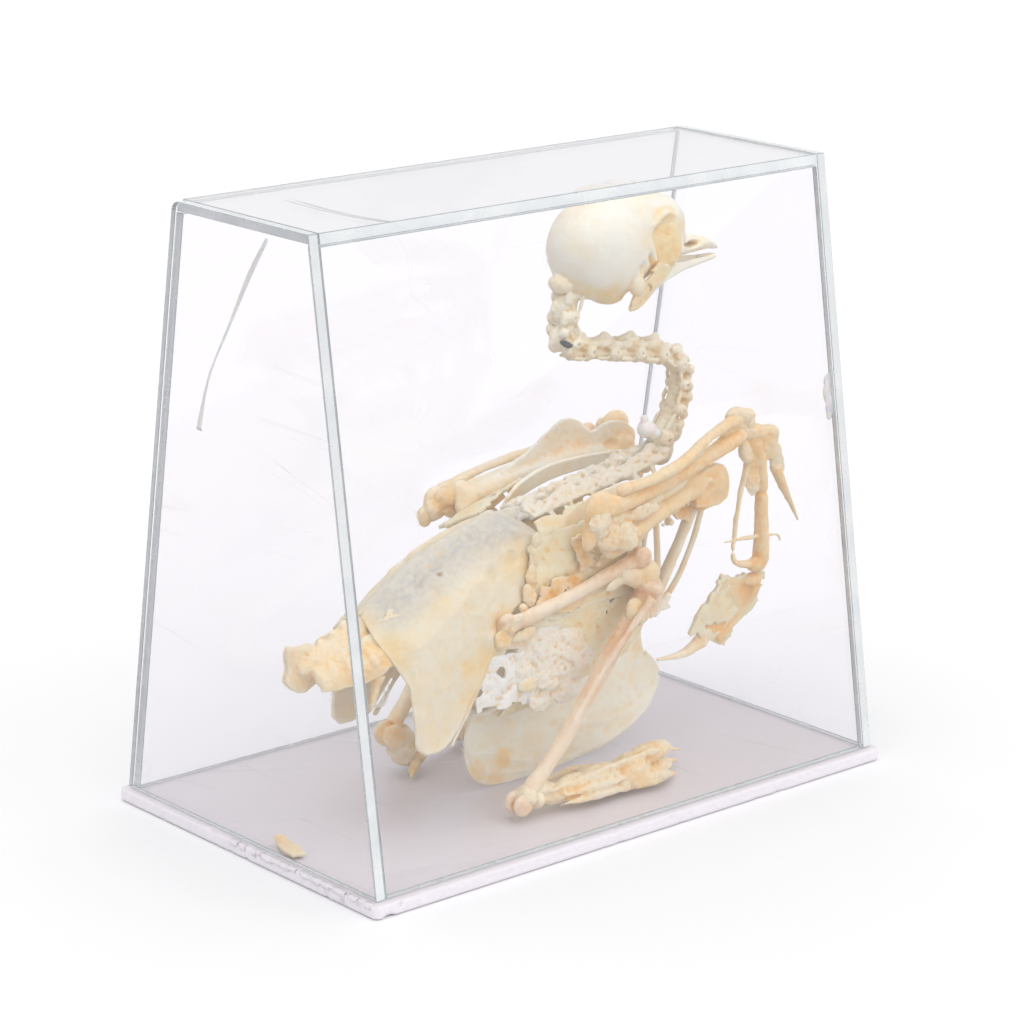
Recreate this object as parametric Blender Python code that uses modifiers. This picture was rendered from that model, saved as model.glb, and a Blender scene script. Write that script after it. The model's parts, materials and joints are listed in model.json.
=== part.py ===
"""A pigeon's skeleton on a white base under a clear acrylic cover, life size.

Metres, +Z up. The origin is the middle of the base's underside. +X is the way the bill points,
and -Y is the bird's right side, the one that a viewer in front of the long side sees first.
Points and radii of bones are written in millimetres, with heights above the top of the base.
"""

import math

import bmesh
import bpy
from mathutils import Matrix, Vector
from mathutils.bvhtree import BVHTree

# Driving sizes, in millimetres
MM = 0.001
BASE_LENGTH = 154.0
BASE_WIDTH = 94.0
BASE_THICK = 3.0
BASE_CORNER = 1.2
COVER_LENGTH = 151.0
COVER_HEIGHT = 140.0
COVER_FOOT_WIDTH = 90.6
COVER_TOP_WIDTH = 47.4
SHEET = 2.5
GAP = 0.3
KEPT_SHARE = 0.66  # of the triangles of each union
MIDLINE = -8.0  # the bird's plane of symmetry, in Y

# Colours and surfaces: linear colour, roughness
BONE = ("bone", (0.80, 0.66, 0.44, 1.0), 0.5)
PALE_BONE = ("pale_bone", (0.86, 0.78, 0.60, 1.0), 0.5)
ACRYLIC = ("acrylic", (0.90, 0.93, 0.94, 0.25), 0.05)
WHITE_BOARD = ("white_board", (0.85, 0.84, 0.87, 1.0), 0.5)
GLUE = ("glue", (0.85, 0.84, 0.80, 1.0), 0.2)

for old in list(bpy.data.objects):
    bpy.data.objects.remove(old, do_unlink=True)
NODES = bpy.data.collections.new("pigeon_skeleton")
bpy.context.scene.collection.children.link(NODES)


# Points and frames


def at(x, y, z):
    """A point in millimetres above the base's top, in metres."""
    return Vector((x, y, z + BASE_THICK)) * MM


def opposite(points):
    """The same points on the bird's other side."""
    return [(p[0], 2 * MIDLINE - p[1], *p[2:]) for p in points]


def through(points, step):
    """Rows of x, y, z, radius about every step along a smooth curve through the given rows."""
    rows = [Vector(p) for p in points]
    rows = [2 * rows[0] - rows[1], *rows, 2 * rows[-1] - rows[-2]]
    found = []
    for a, b, c, d in zip(rows, rows[1:], rows[2:], rows[3:]):
        count = max(1, round((c - b).to_3d().length / step))
        for k in range(count):
            t = k / count
            bend = (2 * a - 5 * b + 4 * c - d) * t * t + (3 * b - a - 3 * c + d) * t**3
            found.append((2 * b + (c - a) * t + bend) / 2)
    return [*found, rows[-2]]


def turned(along, up=(0.0, 0.0, 1.0)):
    """A rotation whose X runs along one direction and whose Z is as near as it can be to up."""
    x = Vector(along).normalized()
    y = Vector(up).cross(x)
    if y.length < 0.05:
        y = Vector((0.0, 1.0, 0.0)).cross(x)
    y.normalize()
    return Matrix((x, y, x.cross(y))).transposed().to_4x4()


# Shapes


def new_object(mesh):
    obj = bpy.data.objects.new("piece", mesh)
    NODES.objects.link(obj)
    return obj


def object_of(bm):
    mesh = bpy.data.meshes.new("piece")
    bmesh.ops.recalc_face_normals(bm, faces=bm.faces)
    bm.to_mesh(mesh)
    bm.free()
    return new_object(mesh)


def solid_of(obj):
    """The object as its modifiers or its curve's bevel leave it, as one plain mesh."""
    bpy.context.view_layer.update()
    graph = bpy.context.evaluated_depsgraph_get()
    mesh = bpy.data.meshes.new_from_object(obj.evaluated_get(graph))
    made = new_object(mesh)
    made.matrix_world = obj.matrix_world.copy()
    bpy.data.objects.remove(obj, do_unlink=True)
    bm = bmesh.new()
    bm.from_mesh(mesh)
    bmesh.ops.remove_doubles(bm, verts=bm.verts, dist=1e-6)
    bmesh.ops.recalc_face_normals(bm, faces=bm.faces)
    bm.to_mesh(mesh)
    bm.free()
    return made


def tube(points, step=7.0, resolution=2):
    """A round bar through rows of x, y, z, radius."""
    curve = bpy.data.curves.new("tube", "CURVE")
    curve.dimensions = "3D"
    curve.bevel_depth = MM
    curve.bevel_resolution = resolution
    curve.use_fill_caps = True
    path = through(points, step)
    spline = curve.splines.new("POLY")
    spline.points.add(len(path) - 1)
    for point, row in zip(spline.points, path):
        point.co = (*at(*row[:3]), 1.0)
        point.radius = row[3]
    return solid_of(new_object(curve))


def ball(centre, size, along=(1.0, 0.0, 0.0), up=(0.0, 0.0, 1.0), segments=8, rings=6):
    """An egg with its half sizes along, across and up."""
    bm = bmesh.new()
    place = Matrix.Translation(at(*centre)) @ turned(along, up) @ Matrix.Diagonal((*size, 1.0))
    bmesh.ops.create_uvsphere(
        bm, u_segments=segments, v_segments=rings, radius=MM, matrix=place
    )
    return object_of(bm)


def outline(points, axis, start, end):
    """A flat outline of two coordinates, filled and drawn out along X or Y from start to end."""
    curve = bpy.data.curves.new("outline", "CURVE")
    curve.dimensions = "2D"
    curve.fill_mode = "BOTH"
    curve.extrude = abs(end - start) / 2 * MM
    spline = curve.splines.new("POLY")
    spline.points.add(len(points) - 1)
    spline.use_cyclic_u = True
    for point, (across, height) in zip(spline.points, points):
        point.co = (across * MM, (height + BASE_THICK) * MM, 0.0, 1.0)
    obj = new_object(curve)
    middle = (start + end) / 2 * MM
    if axis == "X":
        obj.matrix_world = Matrix.Translation((middle, 0, 0)) @ turned((0, 1, 0), (1, 0, 0))
    else:
        obj.matrix_world = Matrix.Translation((0, middle, 0)) @ turned((1, 0, 0), (0, -1, 0))
    made = solid_of(obj)
    made.data.transform(made.matrix_world)
    made.matrix_world = Matrix.Identity(4)
    return made


def loft(rings):
    """A closed skin over rings of points."""
    bm = bmesh.new()
    loops = [[bm.verts.new(at(*p)) for p in ring] for ring in rings]
    for a, b in zip(loops, loops[1:]):
        for i in range(len(a)):
            j = (i + 1) % len(a)
            bm.faces.new((a[i], a[j], b[j], b[i]))
    bm.faces.new(reversed(loops[0]))
    bm.faces.new(loops[-1])
    return object_of(bm)


def sheet(rows, thick):
    """A bone plate through a grid of points, thickened alike to both sides."""
    bm = bmesh.new()
    grid = [[bm.verts.new(at(*p)) for p in row] for row in rows]
    for a, b in zip(grid, grid[1:]):
        for i in range(len(a) - 1):
            bm.faces.new((a[i], a[i + 1], b[i + 1], b[i]))
    bmesh.ops.triangulate(bm, faces=bm.faces)
    obj = object_of(bm)
    solidify = obj.modifiers.new("thick", "SOLIDIFY")
    solidify.thickness = thick * MM
    solidify.offset = 0.0
    return solid_of(obj)


# Joining and cutting


def keep_largest(obj):
    """Drops every closed surface of the mesh except the largest one."""
    bm = bmesh.new()
    bm.from_mesh(obj.data)
    bmesh.ops.dissolve_degenerate(bm, edges=bm.edges, dist=2e-6)
    bmesh.ops.triangulate(bm, faces=bm.faces)
    left = set(bm.faces)
    groups = []
    while left:
        group = {left.pop()}
        front = list(group)
        while front:
            for edge in front.pop().edges:
                for face in edge.link_faces:
                    if face in left and len(edge.link_faces) == 2:
                        left.discard(face)
                        group.add(face)
                        front.append(face)
        groups.append(group)
    groups.sort(key=lambda group: sum(face.calc_area() for face in group))
    spare = [face for group in groups[:-1] for face in group]
    bmesh.ops.delete(bm, geom=spare, context="FACES")
    bm.to_mesh(obj.data)
    bm.free()


def thinned(obj, share):
    """Drops the slivers that a union leaves, down to a share of the triangles."""
    step = obj.modifiers.new("fewer", "DECIMATE")
    step.ratio = share
    return solid_of(obj)


def boolean(obj, others, operation, solver="EXACT"):
    group = bpy.data.collections.new("operands")
    NODES.children.link(group)
    for other in others:
        NODES.objects.unlink(other)
        group.objects.link(other)
    step = obj.modifiers.new("join", "BOOLEAN")
    step.operation = operation
    step.operand_type = "COLLECTION"
    step.collection = group
    step.solver = solver
    made = solid_of(obj)
    for other in others:
        bpy.data.objects.remove(other, do_unlink=True)
    bpy.data.collections.remove(group)
    return made


def material_of(finish):
    name, colour, roughness = finish
    material = bpy.data.materials.get(name)
    if material is None:
        material = bpy.data.materials.new(name)
        material.use_nodes = True
        shader = material.node_tree.nodes["Principled BSDF"]
        shader.inputs["Base Color"].default_value = (*colour[:3], 1.0)
        shader.inputs["Alpha"].default_value = colour[3]
        shader.inputs["Roughness"].default_value = roughness
        material.diffuse_color = colour
    return material


def node(name, pieces, finish=BONE):
    """One named solid from pieces that overlap."""
    obj = pieces[0]
    if len(pieces) > 1:
        obj = boolean(obj, pieces[1:], "UNION")
        keep_largest(obj)
        obj = thinned(obj, KEPT_SHARE)
    obj.name = name
    obj.data.name = name
    obj.data.materials.clear()
    obj.data.materials.append(material_of(finish))
    return obj


def grown(obj, by):
    """A copy of the object whose skin lies outside it by a distance in millimetres."""
    bm = bmesh.new()
    bm.from_mesh(obj.data)
    bm.normal_update()
    moves = [vert.normal * by * MM * min(vert.calc_shell_factor(), 1.5) for vert in bm.verts]
    for vert, move in zip(bm.verts, moves):
        vert.co += move
    return object_of(bm)


def tree_of(obj):
    bm = bmesh.new()
    bm.from_mesh(obj.data)
    tree = BVHTree.FromBMesh(bm)
    bm.free()
    return tree


def cut_clear(objects):
    """Each bone is trimmed where it comes within the gap of one earlier in the list."""
    kept = []
    for obj in objects:
        name = obj.name
        for other in kept:
            near = grown(other, GAP)
            if tree_of(obj).overlap(tree_of(near)):
                obj = boolean(obj, [near, grown(other, 0.02)], "DIFFERENCE", "MANIFOLD")
                keep_largest(obj)
                obj.name = name
                obj.data.name = name
            else:
                bpy.data.objects.remove(near, do_unlink=True)
        kept.append(obj)
    return kept


# Base and cover


def base_plate():
    bpy.ops.mesh.primitive_cube_add(size=1.0)
    obj = bpy.context.active_object
    for group in list(obj.users_collection):
        group.objects.unlink(obj)
    NODES.objects.link(obj)
    obj.data.transform(Matrix.Diagonal((BASE_LENGTH * MM, BASE_WIDTH * MM, BASE_THICK * MM, 1.0)))
    obj.data.transform(Matrix.Translation((0.0, 0.0, BASE_THICK / 2 * MM)))
    bm = bmesh.new()
    bm.from_mesh(obj.data)
    upright = [e for e in bm.edges if abs((e.verts[0].co - e.verts[1].co).z) > 0.5 * BASE_THICK * MM]
    bmesh.ops.bevel(
        bm, geom=upright, offset=BASE_CORNER * MM, segments=2, affect="EDGES", profile=0.5
    )
    bm.to_mesh(obj.data)
    bm.free()
    return node("base_plate", [obj], WHITE_BOARD)


def half_width(height, inset=0.0):
    """Half the cover's width at a height, less an inset."""
    share = height / COVER_HEIGHT
    wide = COVER_FOOT_WIDTH + (COVER_TOP_WIDTH - COVER_FOOT_WIDTH) * share
    return wide / 2 - inset


def cover():
    """Two upright ends, two leaning sides between them and a flat top over the sides."""
    end = COVER_LENGTH / 2
    inner_end = end - SHEET - GAP
    lean = (COVER_FOOT_WIDTH - COVER_TOP_WIDTH) / 2 / COVER_HEIGHT
    across = SHEET * math.hypot(1.0, lean)
    top_under = COVER_HEIGHT - SHEET
    side_top = top_under - GAP
    shape = [
        (half_width(GAP), GAP),
        (half_width(COVER_HEIGHT), COVER_HEIGHT),
        (-half_width(COVER_HEIGHT), COVER_HEIGHT),
        (-half_width(GAP), GAP),
    ]
    for name, side in (("case_end_tail", -1.0), ("case_end_head", 1.0)):
        node(name, [outline(shape, "X", side * end, side * (end - SHEET))], ACRYLIC)
    for name, side in (("case_side_right", -1.0), ("case_side_left", 1.0)):
        shape = [
            (side * half_width(GAP), GAP),
            (side * half_width(side_top), side_top),
            (side * half_width(side_top, across), side_top),
            (side * half_width(GAP, across), GAP),
        ]
        node(name, [outline(shape, "X", -inner_end, inner_end)], ACRYLIC)
    shape = [
        (half_width(top_under), top_under),
        (half_width(COVER_HEIGHT), COVER_HEIGHT),
        (-half_width(COVER_HEIGHT), COVER_HEIGHT),
        (-half_width(top_under), top_under),
    ]
    node("case_top", [outline(shape, "X", -inner_end, inner_end)], ACRYLIC)


# Head

SKULL_CENTRE = Vector((20.5, MIDLINE, 122.0))


def in_head(x, y, z):
    """A point of the head, from the middle of the braincase towards the bill, left and up."""
    return (SKULL_CENTRE.x + x, SKULL_CENTRE.y + y, SKULL_CENTRE.z + z)


def bill_ring(x, half, top, bottom, points=8):
    ring = []
    for i in range(points):
        turn = 2 * math.pi * i / points
        high = (top + bottom) / 2 + (top - bottom) / 2 * math.sin(turn)
        ring.append(in_head(x, half * math.cos(turn), high))
    return ring


def skull():
    upper_bill = loft(
        [
            bill_ring(14.0, 4.8, 5.0, -4.8),
            bill_ring(19.0, 4.2, 3.4, -4.6),
            bill_ring(24.0, 3.2, 0.5, -4.4),
            bill_ring(28.0, 2.5, -0.3, -4.2),
            bill_ring(31.6, 1.8, -1.3, -4.2),
            bill_ring(34.2, 1.0, -2.6, -4.6),
            bill_ring(35.6, 0.4, -3.8, -4.8),
        ]
    )
    pieces = [
        ball(in_head(-1.4, 0, 0.6), (13.8, 10.3, 12.2), segments=14, rings=10),
        ball(in_head(4.4, 0, 3.0), (13.4, 8.6, 10.0), segments=12, rings=8),
        ball(in_head(9.6, 0, 2.6), (14.0, 7.2, 9.8), segments=12, rings=8),
        upper_bill,
    ]
    obj = boolean(pieces[0], pieces[1:], "UNION")
    orbits = [
        ball(in_head(13.4, side * 8.4, 0.2), (6.6, 7.4, 7.0), segments=10, rings=8)
        for side in (-1.0, 1.0)
    ]
    nostril = ball(in_head(25.0, 0, -2.0), (3.6, 8.0, 0.8), segments=8, rings=6)
    obj = boolean(obj, [*orbits, nostril], "DIFFERENCE")
    keep_largest(obj)
    added = [
        ball(in_head(-11.0, 0, -8.0), (1.5, 1.7, 1.5), segments=6, rings=4),
        ball(in_head(0.0, 0, -10.2), (4.2, 5.0, 2.6), segments=8, rings=5),
        tube([(*in_head(0, 0, -9.4), 1.8), (*in_head(16, 0, -4.4), 1.2)], 9.0, 1),
    ]
    for side in (-1.0, 1.0):
        added.append(ball(in_head(2.6, side * 8.0, -7.4), (2.0, 1.6, 2.8), segments=7, rings=5))
        jugal = [(*in_head(3.0, side * 8.6, -8.2), 0.7), (*in_head(10, side * 7.0, -5.4), 0.55)]
        jugal.append((*in_head(18.5, side * 3.6, -3.6), 0.7))
        added.append(tube(jugal, 5.0, 1))
        spur = [(*in_head(5.4, side * 7.6, 3.0), 1.4), (*in_head(7.6, side * 8.8, -2.4), 0.5)]
        added.append(tube(spur, 5.0, 1))
    obj = boolean(obj, added, "UNION")
    keep_largest(obj)
    obj = thinned(obj, 0.8)
    return node("skull", [obj], PALE_BONE)


def mandible():
    pieces = []
    for side in (-1.0, 1.0):
        edges = [
            (0.6, 7.6, -13.0, -12.2),
            (3.2, 8.0, -12.4, -9.4),
            (9.4, 6.8, -9.2, -6.2),
            (15.5, 5.2, -7.6, -5.4),
            (22.0, 3.4, -6.8, -5.3),
            (29.0, 1.6, -6.5, -5.5),
            (34.0, 0.5, -6.3, -5.7),
        ]
        rows = [[in_head(x, side * y, low), in_head(x, side * y, high)] for x, y, low, high in edges]
        pieces.append(sheet(rows, 1.1))
        low_edge = [(*in_head(x, side * y, low + 0.3), 0.75) for x, y, low, high in edges]
        pieces.append(tube(low_edge, 5.0, 1))
    pieces.append(ball(in_head(31.6, 0, -5.95), (2.8, 0.9, 0.6), segments=6, rings=4))
    return node("mandible", pieces, PALE_BONE)


# Neck, back and ribs

NECK = [
    (10.6, MIDLINE, 113.6),
    (8.6, MIDLINE, 106.4),
    (10.0, MIDLINE, 100.4),
    (16.4, MIDLINE, 99.4),
    (24.0, MIDLINE, 98.2),
    (31.6, MIDLINE, 97.0),
    (39.2, MIDLINE, 95.4),
    (44.6, MIDLINE, 91.4),
    (44.6, MIDLINE, 85.4),
    (42.6, MIDLINE, 79.6),
    (37.6, MIDLINE, 73.0),
]


def vertebra(centre, along, up, long, wide, tall):
    """A spool with an arch over it and a wing to each side."""
    frame = turned(along, up).to_3x3()

    def off(x, y, z):
        return tuple(Vector(centre) + frame @ Vector((x, y, z)))

    def part(place, size):
        return ball(off(*place), size, along, up, segments=6, rings=5)

    body = part((0, 0, -0.1 * tall), (0.64 * long, 0.24 * wide, 0.3 * tall))
    arch = part((0, 0, 0.24 * tall), (0.5 * long, 0.34 * wide, 0.26 * tall))
    wings = part((0.2 * long, 0, -0.06 * tall), (0.3 * long, 0.5 * wide, 0.28 * tall))
    return [body, arch, wings]


def neck_length(name, first, last, up_of):
    """Neck bones between two points of the neck's line, each a vertebra of its own size."""
    pieces = []
    for i in range(first, last):
        a, b = Vector(NECK[i]), Vector(NECK[i + 1])
        size = 7.0 + 0.5 * math.sin(1.7 * i)
        pieces += vertebra((a + b) / 2, b - a, up_of, (b - a).length, size, size)
    line = [(*p, 1.5) for p in NECK[first : last + 1]]
    return node(name, [tube(line, 4.0, 1), *pieces], PALE_BONE)


BACK = [(36.4, 71.6), (22.0, 69.0), (6.0, 66.4), (-5.0, 64.6)]
RIB_ROOTS = (32.0, 26.0, 19.5, 13.0, 6.5, 0.5)
RIB_REACH = (8.5, 11.5, 13.0, 13.6, 13.4, 12.4)
RIB_DROP = (12.0, 29.0, 33.0, 34.0, 33.0, 30.0)


def back_height(x):
    for (x1, z1), (x0, z0) in zip(BACK, BACK[1:]):
        if x >= x0:
            break
    return z0 + (z1 - z0) * (x - x0) / (x1 - x0)


def rib_line(index, side):
    """A rib from the back out, round and down, then forward to the breastbone."""
    x = RIB_ROOTS[index]
    z = back_height(x)
    reach = RIB_REACH[index]
    drop = RIB_DROP[index]
    line = [
        (x, MIDLINE + side * 2.0, z - 0.4, 0.8),
        (x - 0.6, MIDLINE + side * 0.62 * reach, z - 0.06 * drop, 0.75),
        (x - 1.6, MIDLINE + side * 0.96 * reach, z - 0.32 * drop, 0.7),
        (x - 2.6, MIDLINE + side * reach, z - 0.64 * drop, 0.7),
    ]
    if index:
        line.append((x + 1.0, MIDLINE + side * 0.98 * reach, z - 0.88 * drop, 0.65))
        line.append((x + 3.4, MIDLINE + side * 0.95 * reach, z - drop, 0.6))
    return line


def rib_cage(name, side):
    """One side of the ribs on its half of the fused back bones."""
    half = [(x, MIDLINE + side * (1.75 + GAP / 2), z, 1.75) for x, z in BACK]
    pieces = [tube(half, 9.0, 2)]
    crest = [(x, MIDLINE + side * (0.7 + GAP / 2), z + 2.3, 0.62) for x, z in BACK]
    pieces.append(tube(crest, 9.0, 1))
    for index in range(len(RIB_ROOTS)):
        line = rib_line(index, side)
        pieces.append(tube(line, 9.0, 1))
        if 0 < index < 5:
            hook = [line[2], (line[2][0] - 3.0, line[2][1] + side * 0.3, line[2][2] + 1.2, 0.4)]
            root = Vector(line[2]).lerp(Vector(line[3]), 0.3)
            hook[0] = (*root[:3], 0.6)
            pieces.append(tube(hook, 9.0, 1))
        x = RIB_ROOTS[index]
        pieces.append(
            ball(
                (x + 0.6, MIDLINE + side * 3.6, back_height(x) + 0.2),
                (2.2, 1.8, 0.8),
                segments=6,
                rings=4,
            )
        )
    return node(name, pieces, PALE_BONE)


# Breast and shoulder girdle

STERNUM_LINE = [
    (33.0, 34.5, 10.5, 3.0),
    (26.0, 32.6, 13.0, 6.0),
    (16.0, 29.6, 13.4, 8.0),
    (5.0, 26.4, 12.6, 8.5),
    (-5.0, 23.4, 11.8, 7.5),
    (-13.0, 21.2, 10.4, 5.0),
    (-18.5, 19.6, 5.0, 1.5),
]
KEEL_EDGE = [
    (33.4, 33.6),
    (33.2, 28.6),
    (32.6, 25.4),
    (34.0, 22.8),
    (36.6, 20.8),
    (39.2, 18.4),
    (39.6, 15.4),
    (38.4, 12.2),
    (35.0, 8.4),
    (30.0, 5.2),
    (24.5, 3.2),
    (17.0, 1.7),
    (4.3, 0.6),
    (-6.0, 0.5),
    (-13.5, 1.2),
    (-18.4, 4.0),
    (-20.6, 8.6),
    (-20.8, 13.4),
    (-19.4, 18.0),
    (-17.0, 20.2),
]


def sternum():
    rows = []
    for x, z, half, rise in STERNUM_LINE:
        shares = (-1.0, -0.66, -0.33, 0.0, 0.33, 0.66, 1.0)
        rows.append([(x, MIDLINE + half * u, z + rise * u * u) for u in shares])
    pieces = [sheet(rows, 1.0)]
    back = [(-5.0, 23.6), (5.0, 26.6), (16.0, 29.8), (26.0, 32.8)]
    pieces.append(outline([*KEEL_EDGE, *back], "Y", MIDLINE - 0.5, MIDLINE + 0.5))
    root = [(-18.0, 19.2), (0.0, 24.4), (20.0, 30.2), (32.0, 33.6)]
    pieces.append(tube([(x, MIDLINE, z, 1.3) for x, z in root], 9.0, 1))
    rim = [(35.0, 22.8), (38.8, 18.4), (39.0, 14.8), (34.8, 8.8), (24.5, 4.2), (10.0, 2.2)]
    pieces.append(tube([(x, MIDLINE, z, 0.85) for x, z in rim], 6.0, 1))
    for side in (-1.0, 1.0):
        reach = MIDLINE + side * 13.0
        bar = [(14.0, reach, 37.0, 1.0), (2.0, reach, 33.5, 0.9), (-12.0, reach, 29.5, 0.9)]
        pieces.append(tube(bar, 8.0, 1))
        pieces.append(ball((-13.0, reach, 29.0), (3.2, 0.8, 2.0), segments=6, rings=4))
        horn = [(26.0, MIDLINE + side * 12.0, 37.0, 1.2), (30.5, MIDLINE + side * 13.0, 41.5, 0.8)]
        pieces.append(tube(horn, 6.0, 1))
    return node("sternum", pieces, PALE_BONE)


def coracoid(name, side_of):
    line = [(41.4, -18.6, 64.4, 1.7), (39.2, -17.0, 56.0, 1.6), (36.4, -14.0, 45.0, 1.8)]
    line.append((34.4, -12.0, 38.4, 2.0))
    pieces = [tube(side_of(line), 6.0)]
    head, foot = side_of([(42.4, -18.6, 66.4), (34.0, -11.6, 37.4)])
    pieces.append(ball(head, (2.6, 2.2, 2.4), segments=7, rings=5))
    pieces.append(ball(foot, (1.5, 4.6, 2.6), segments=8, rings=5))
    return node(name, pieces)


def furcula():
    line = [
        (45.4, -16.6, 63.0, 1.2),
        (45.0, -15.8, 58.0, 0.95),
        (44.2, -14.4, 51.0, 0.85),
        (42.4, -11.8, 42.0, 0.85),
        (40.4, -9.6, 36.4, 0.9),
        (39.6, MIDLINE, 35.0, 0.95),
    ]
    pieces = [tube(line, 7.0, 1), tube(opposite(line), 7.0, 1)]
    pieces.append(ball((39.2, MIDLINE, 34.0), (0.8, 1.6, 1.8), segments=6, rings=5))
    return node("furcula", pieces)


def scapula(name, side_of, inset):
    upper = [(41.0, -17.4, 69.6), (35.0, -20.0, 69.8), (25.0, -20.8, 70.0)]
    upper += [(15.0, -20.6, 69.6), (6.0, -19.8, 67.4), (1.5, -19.2, 64.6)]
    lower = [(40.0, -19.4, 66.8), (34.6, -21.0, 67.2), (25.0, -21.8, 66.8)]
    lower += [(15.0, -22.0, 65.6), (6.0, -21.2, 63.4), (0.5, -20.2, 61.8)]
    upper, lower = ([(x, y + inset, z) for x, y, z in edge] for edge in (upper, lower))
    rows = [
        [a, tuple((p + q) / 2 for p, q in zip(a, b)), b]
        for a, b in zip(side_of(upper), side_of(lower))
    ]
    pieces = [sheet(rows, 0.9)]
    head = side_of([(41.0, -18.4 + inset, 68.4)])[0]
    pieces.append(ball(head, (2.6, 1.8, 1.9), segments=7, rings=5))
    return node(name, pieces)


# Pelvis and tail

PELVIS_ROWS = [
    [(-5.2, -14.6, 61.6), (-4.8, -15.8, 60.0), (-4.6, -16.8, 58.0), (-5.4, -17.4, 55.8), (-6.4, -17.6, 54.0)],
    [(-10.5, -10.6, 65.4), (-10.5, -14.0, 63.2), (-10.5, -16.8, 58.6), (-10.5, -18.2, 53.4), (-10.8, -18.6, 49.8)],
    [(-17.5, -9.4, 64.2), (-17.5, -13.2, 62.4), (-17.5, -16.8, 57.2), (-17.5, -18.6, 50.8), (-17.5, -19.2, 46.4)],
    [(-24.0, -8.6, 62.6), (-24.0, -13.4, 61.0), (-24.0, -17.6, 55.6), (-24.0, -19.8, 48.0), (-24.0, -20.2, 38.0)],
    [(-31.0, -8.4, 60.4), (-31.0, -14.0, 58.4), (-31.0, -18.6, 52.2), (-31.0, -20.8, 42.6), (-31.0, -21.2, 29.0)],
    [(-38.0, -8.4, 57.6), (-38.0, -13.8, 55.2), (-38.0, -18.8, 48.8), (-38.0, -21.2, 38.0), (-38.0, -21.8, 20.6)],
    [(-44.0, -8.4, 54.0), (-44.0, -13.2, 51.2), (-44.0, -18.4, 45.4), (-44.0, -21.0, 35.0), (-44.0, -21.8, 19.8)],
    [(-51.2, -8.6, 49.4), (-51.8, -12.4, 46.8), (-49.8, -16.2, 42.0), (-46.8, -20.0, 35.4), (-46.0, -21.4, 21.6)],
]


def pelvis():
    pieces = [sheet(PELVIS_ROWS, 1.1), sheet([opposite(row) for row in PELVIS_ROWS], 1.1)]
    trunk = [(-6.0, 63.6, 2.4), (-15.0, 62.2, 3.0), (-28.0, 59.0, 3.2), (-40.0, 54.0, 2.8)]
    trunk.append((-49.6, 48.2, 2.0))
    pieces.append(tube([(x, MIDLINE, z, r) for x, z, r in trunk], 9.0))
    crest = [(-6.0, 65.6), (-16.0, 64.6), (-26.0, 62.2), (-36.0, 58.4)]
    pieces.append(tube([(x, MIDLINE, z, 0.9) for x, z in crest], 12.0, 1))
    for side_of in (list, opposite):
        socket, spur = side_of([(-20.4, -17.4, 44.4), (-23.0, -19.6, 47.6)])
        pieces.append(ball(socket, (3.4, 2.6, 3.4), segments=8, rings=6))
        pieces.append(ball(spur, (2.6, 1.8, 1.8), segments=6, rings=5))
        pubis = [(-21.0, -18.6, 41.0, 0.8), (-27.0, -20.6, 31.6, 0.55), (-36.0, -21.4, 19.6, 0.5)]
        pieces.append(tube(side_of(pubis), 8.0, 1))
    return node("pelvis", pieces, PALE_BONE)


TAIL = [(-53.0, 45.0), (-56.2, 43.4), (-59.4, 42.2), (-62.4, 41.4)]


def tail_bones():
    line = [(-50.6, MIDLINE, 46.2, 2.2), *((x, MIDLINE, z, 2.4) for x, z in TAIL)]
    line.append((-66.4, MIDLINE, 40.6, 1.8))
    pieces = [tube(line, 5.0)]
    web = []
    for index, (x, z) in enumerate(TAIL):
        reach = 7.4 - 0.8 * index
        pieces.append(ball((x, MIDLINE, z + 2.0), (1.3, 1.2, 2.4), segments=6, rings=5))
        for side in (-1.0, 1.0):
            wing = [(x, MIDLINE + side, z, 1.9), (x - 0.4, MIDLINE + side * reach, z - 3.2, 1.5)]
            wing.append((x - 0.6, MIDLINE + side * (reach + 0.6), z - 6.4, 1.0))
            pieces.append(tube(wing, 5.0, 1))
        shares = (-1.0, -0.6, 0.0, 0.6, 1.0)
        web.append([(x - 0.4, MIDLINE + reach * u, z - 4.4 * u * u - 0.8) for u in shares])
    pieces.append(sheet(web, 2.4))
    blade = [(-61.6, 44.4), (-62.6, 46.0), (-67.6, 46.8), (-69.6, 44.0), (-69.8, 39.4)]
    blade += [(-67.0, 36.0), (-63.0, 35.4), (-61.0, 38.4)]
    pieces.append(outline(blade, "Y", MIDLINE - 1.0, MIDLINE + 1.0))
    return node("tail_bones", pieces)


# Wings: the right one hangs open from the wrist, the left one is folded


def limb(name, line, knobs, step=7.0, finish=BONE):
    """A shaft through rows of x, y, z, radius, with knobs of centre, half sizes and direction."""
    pieces = [tube(line, step)]
    for centre, size, along in knobs:
        pieces.append(ball(centre, size, along, segments=8, rings=6))
    return node(name, pieces, finish)


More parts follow.
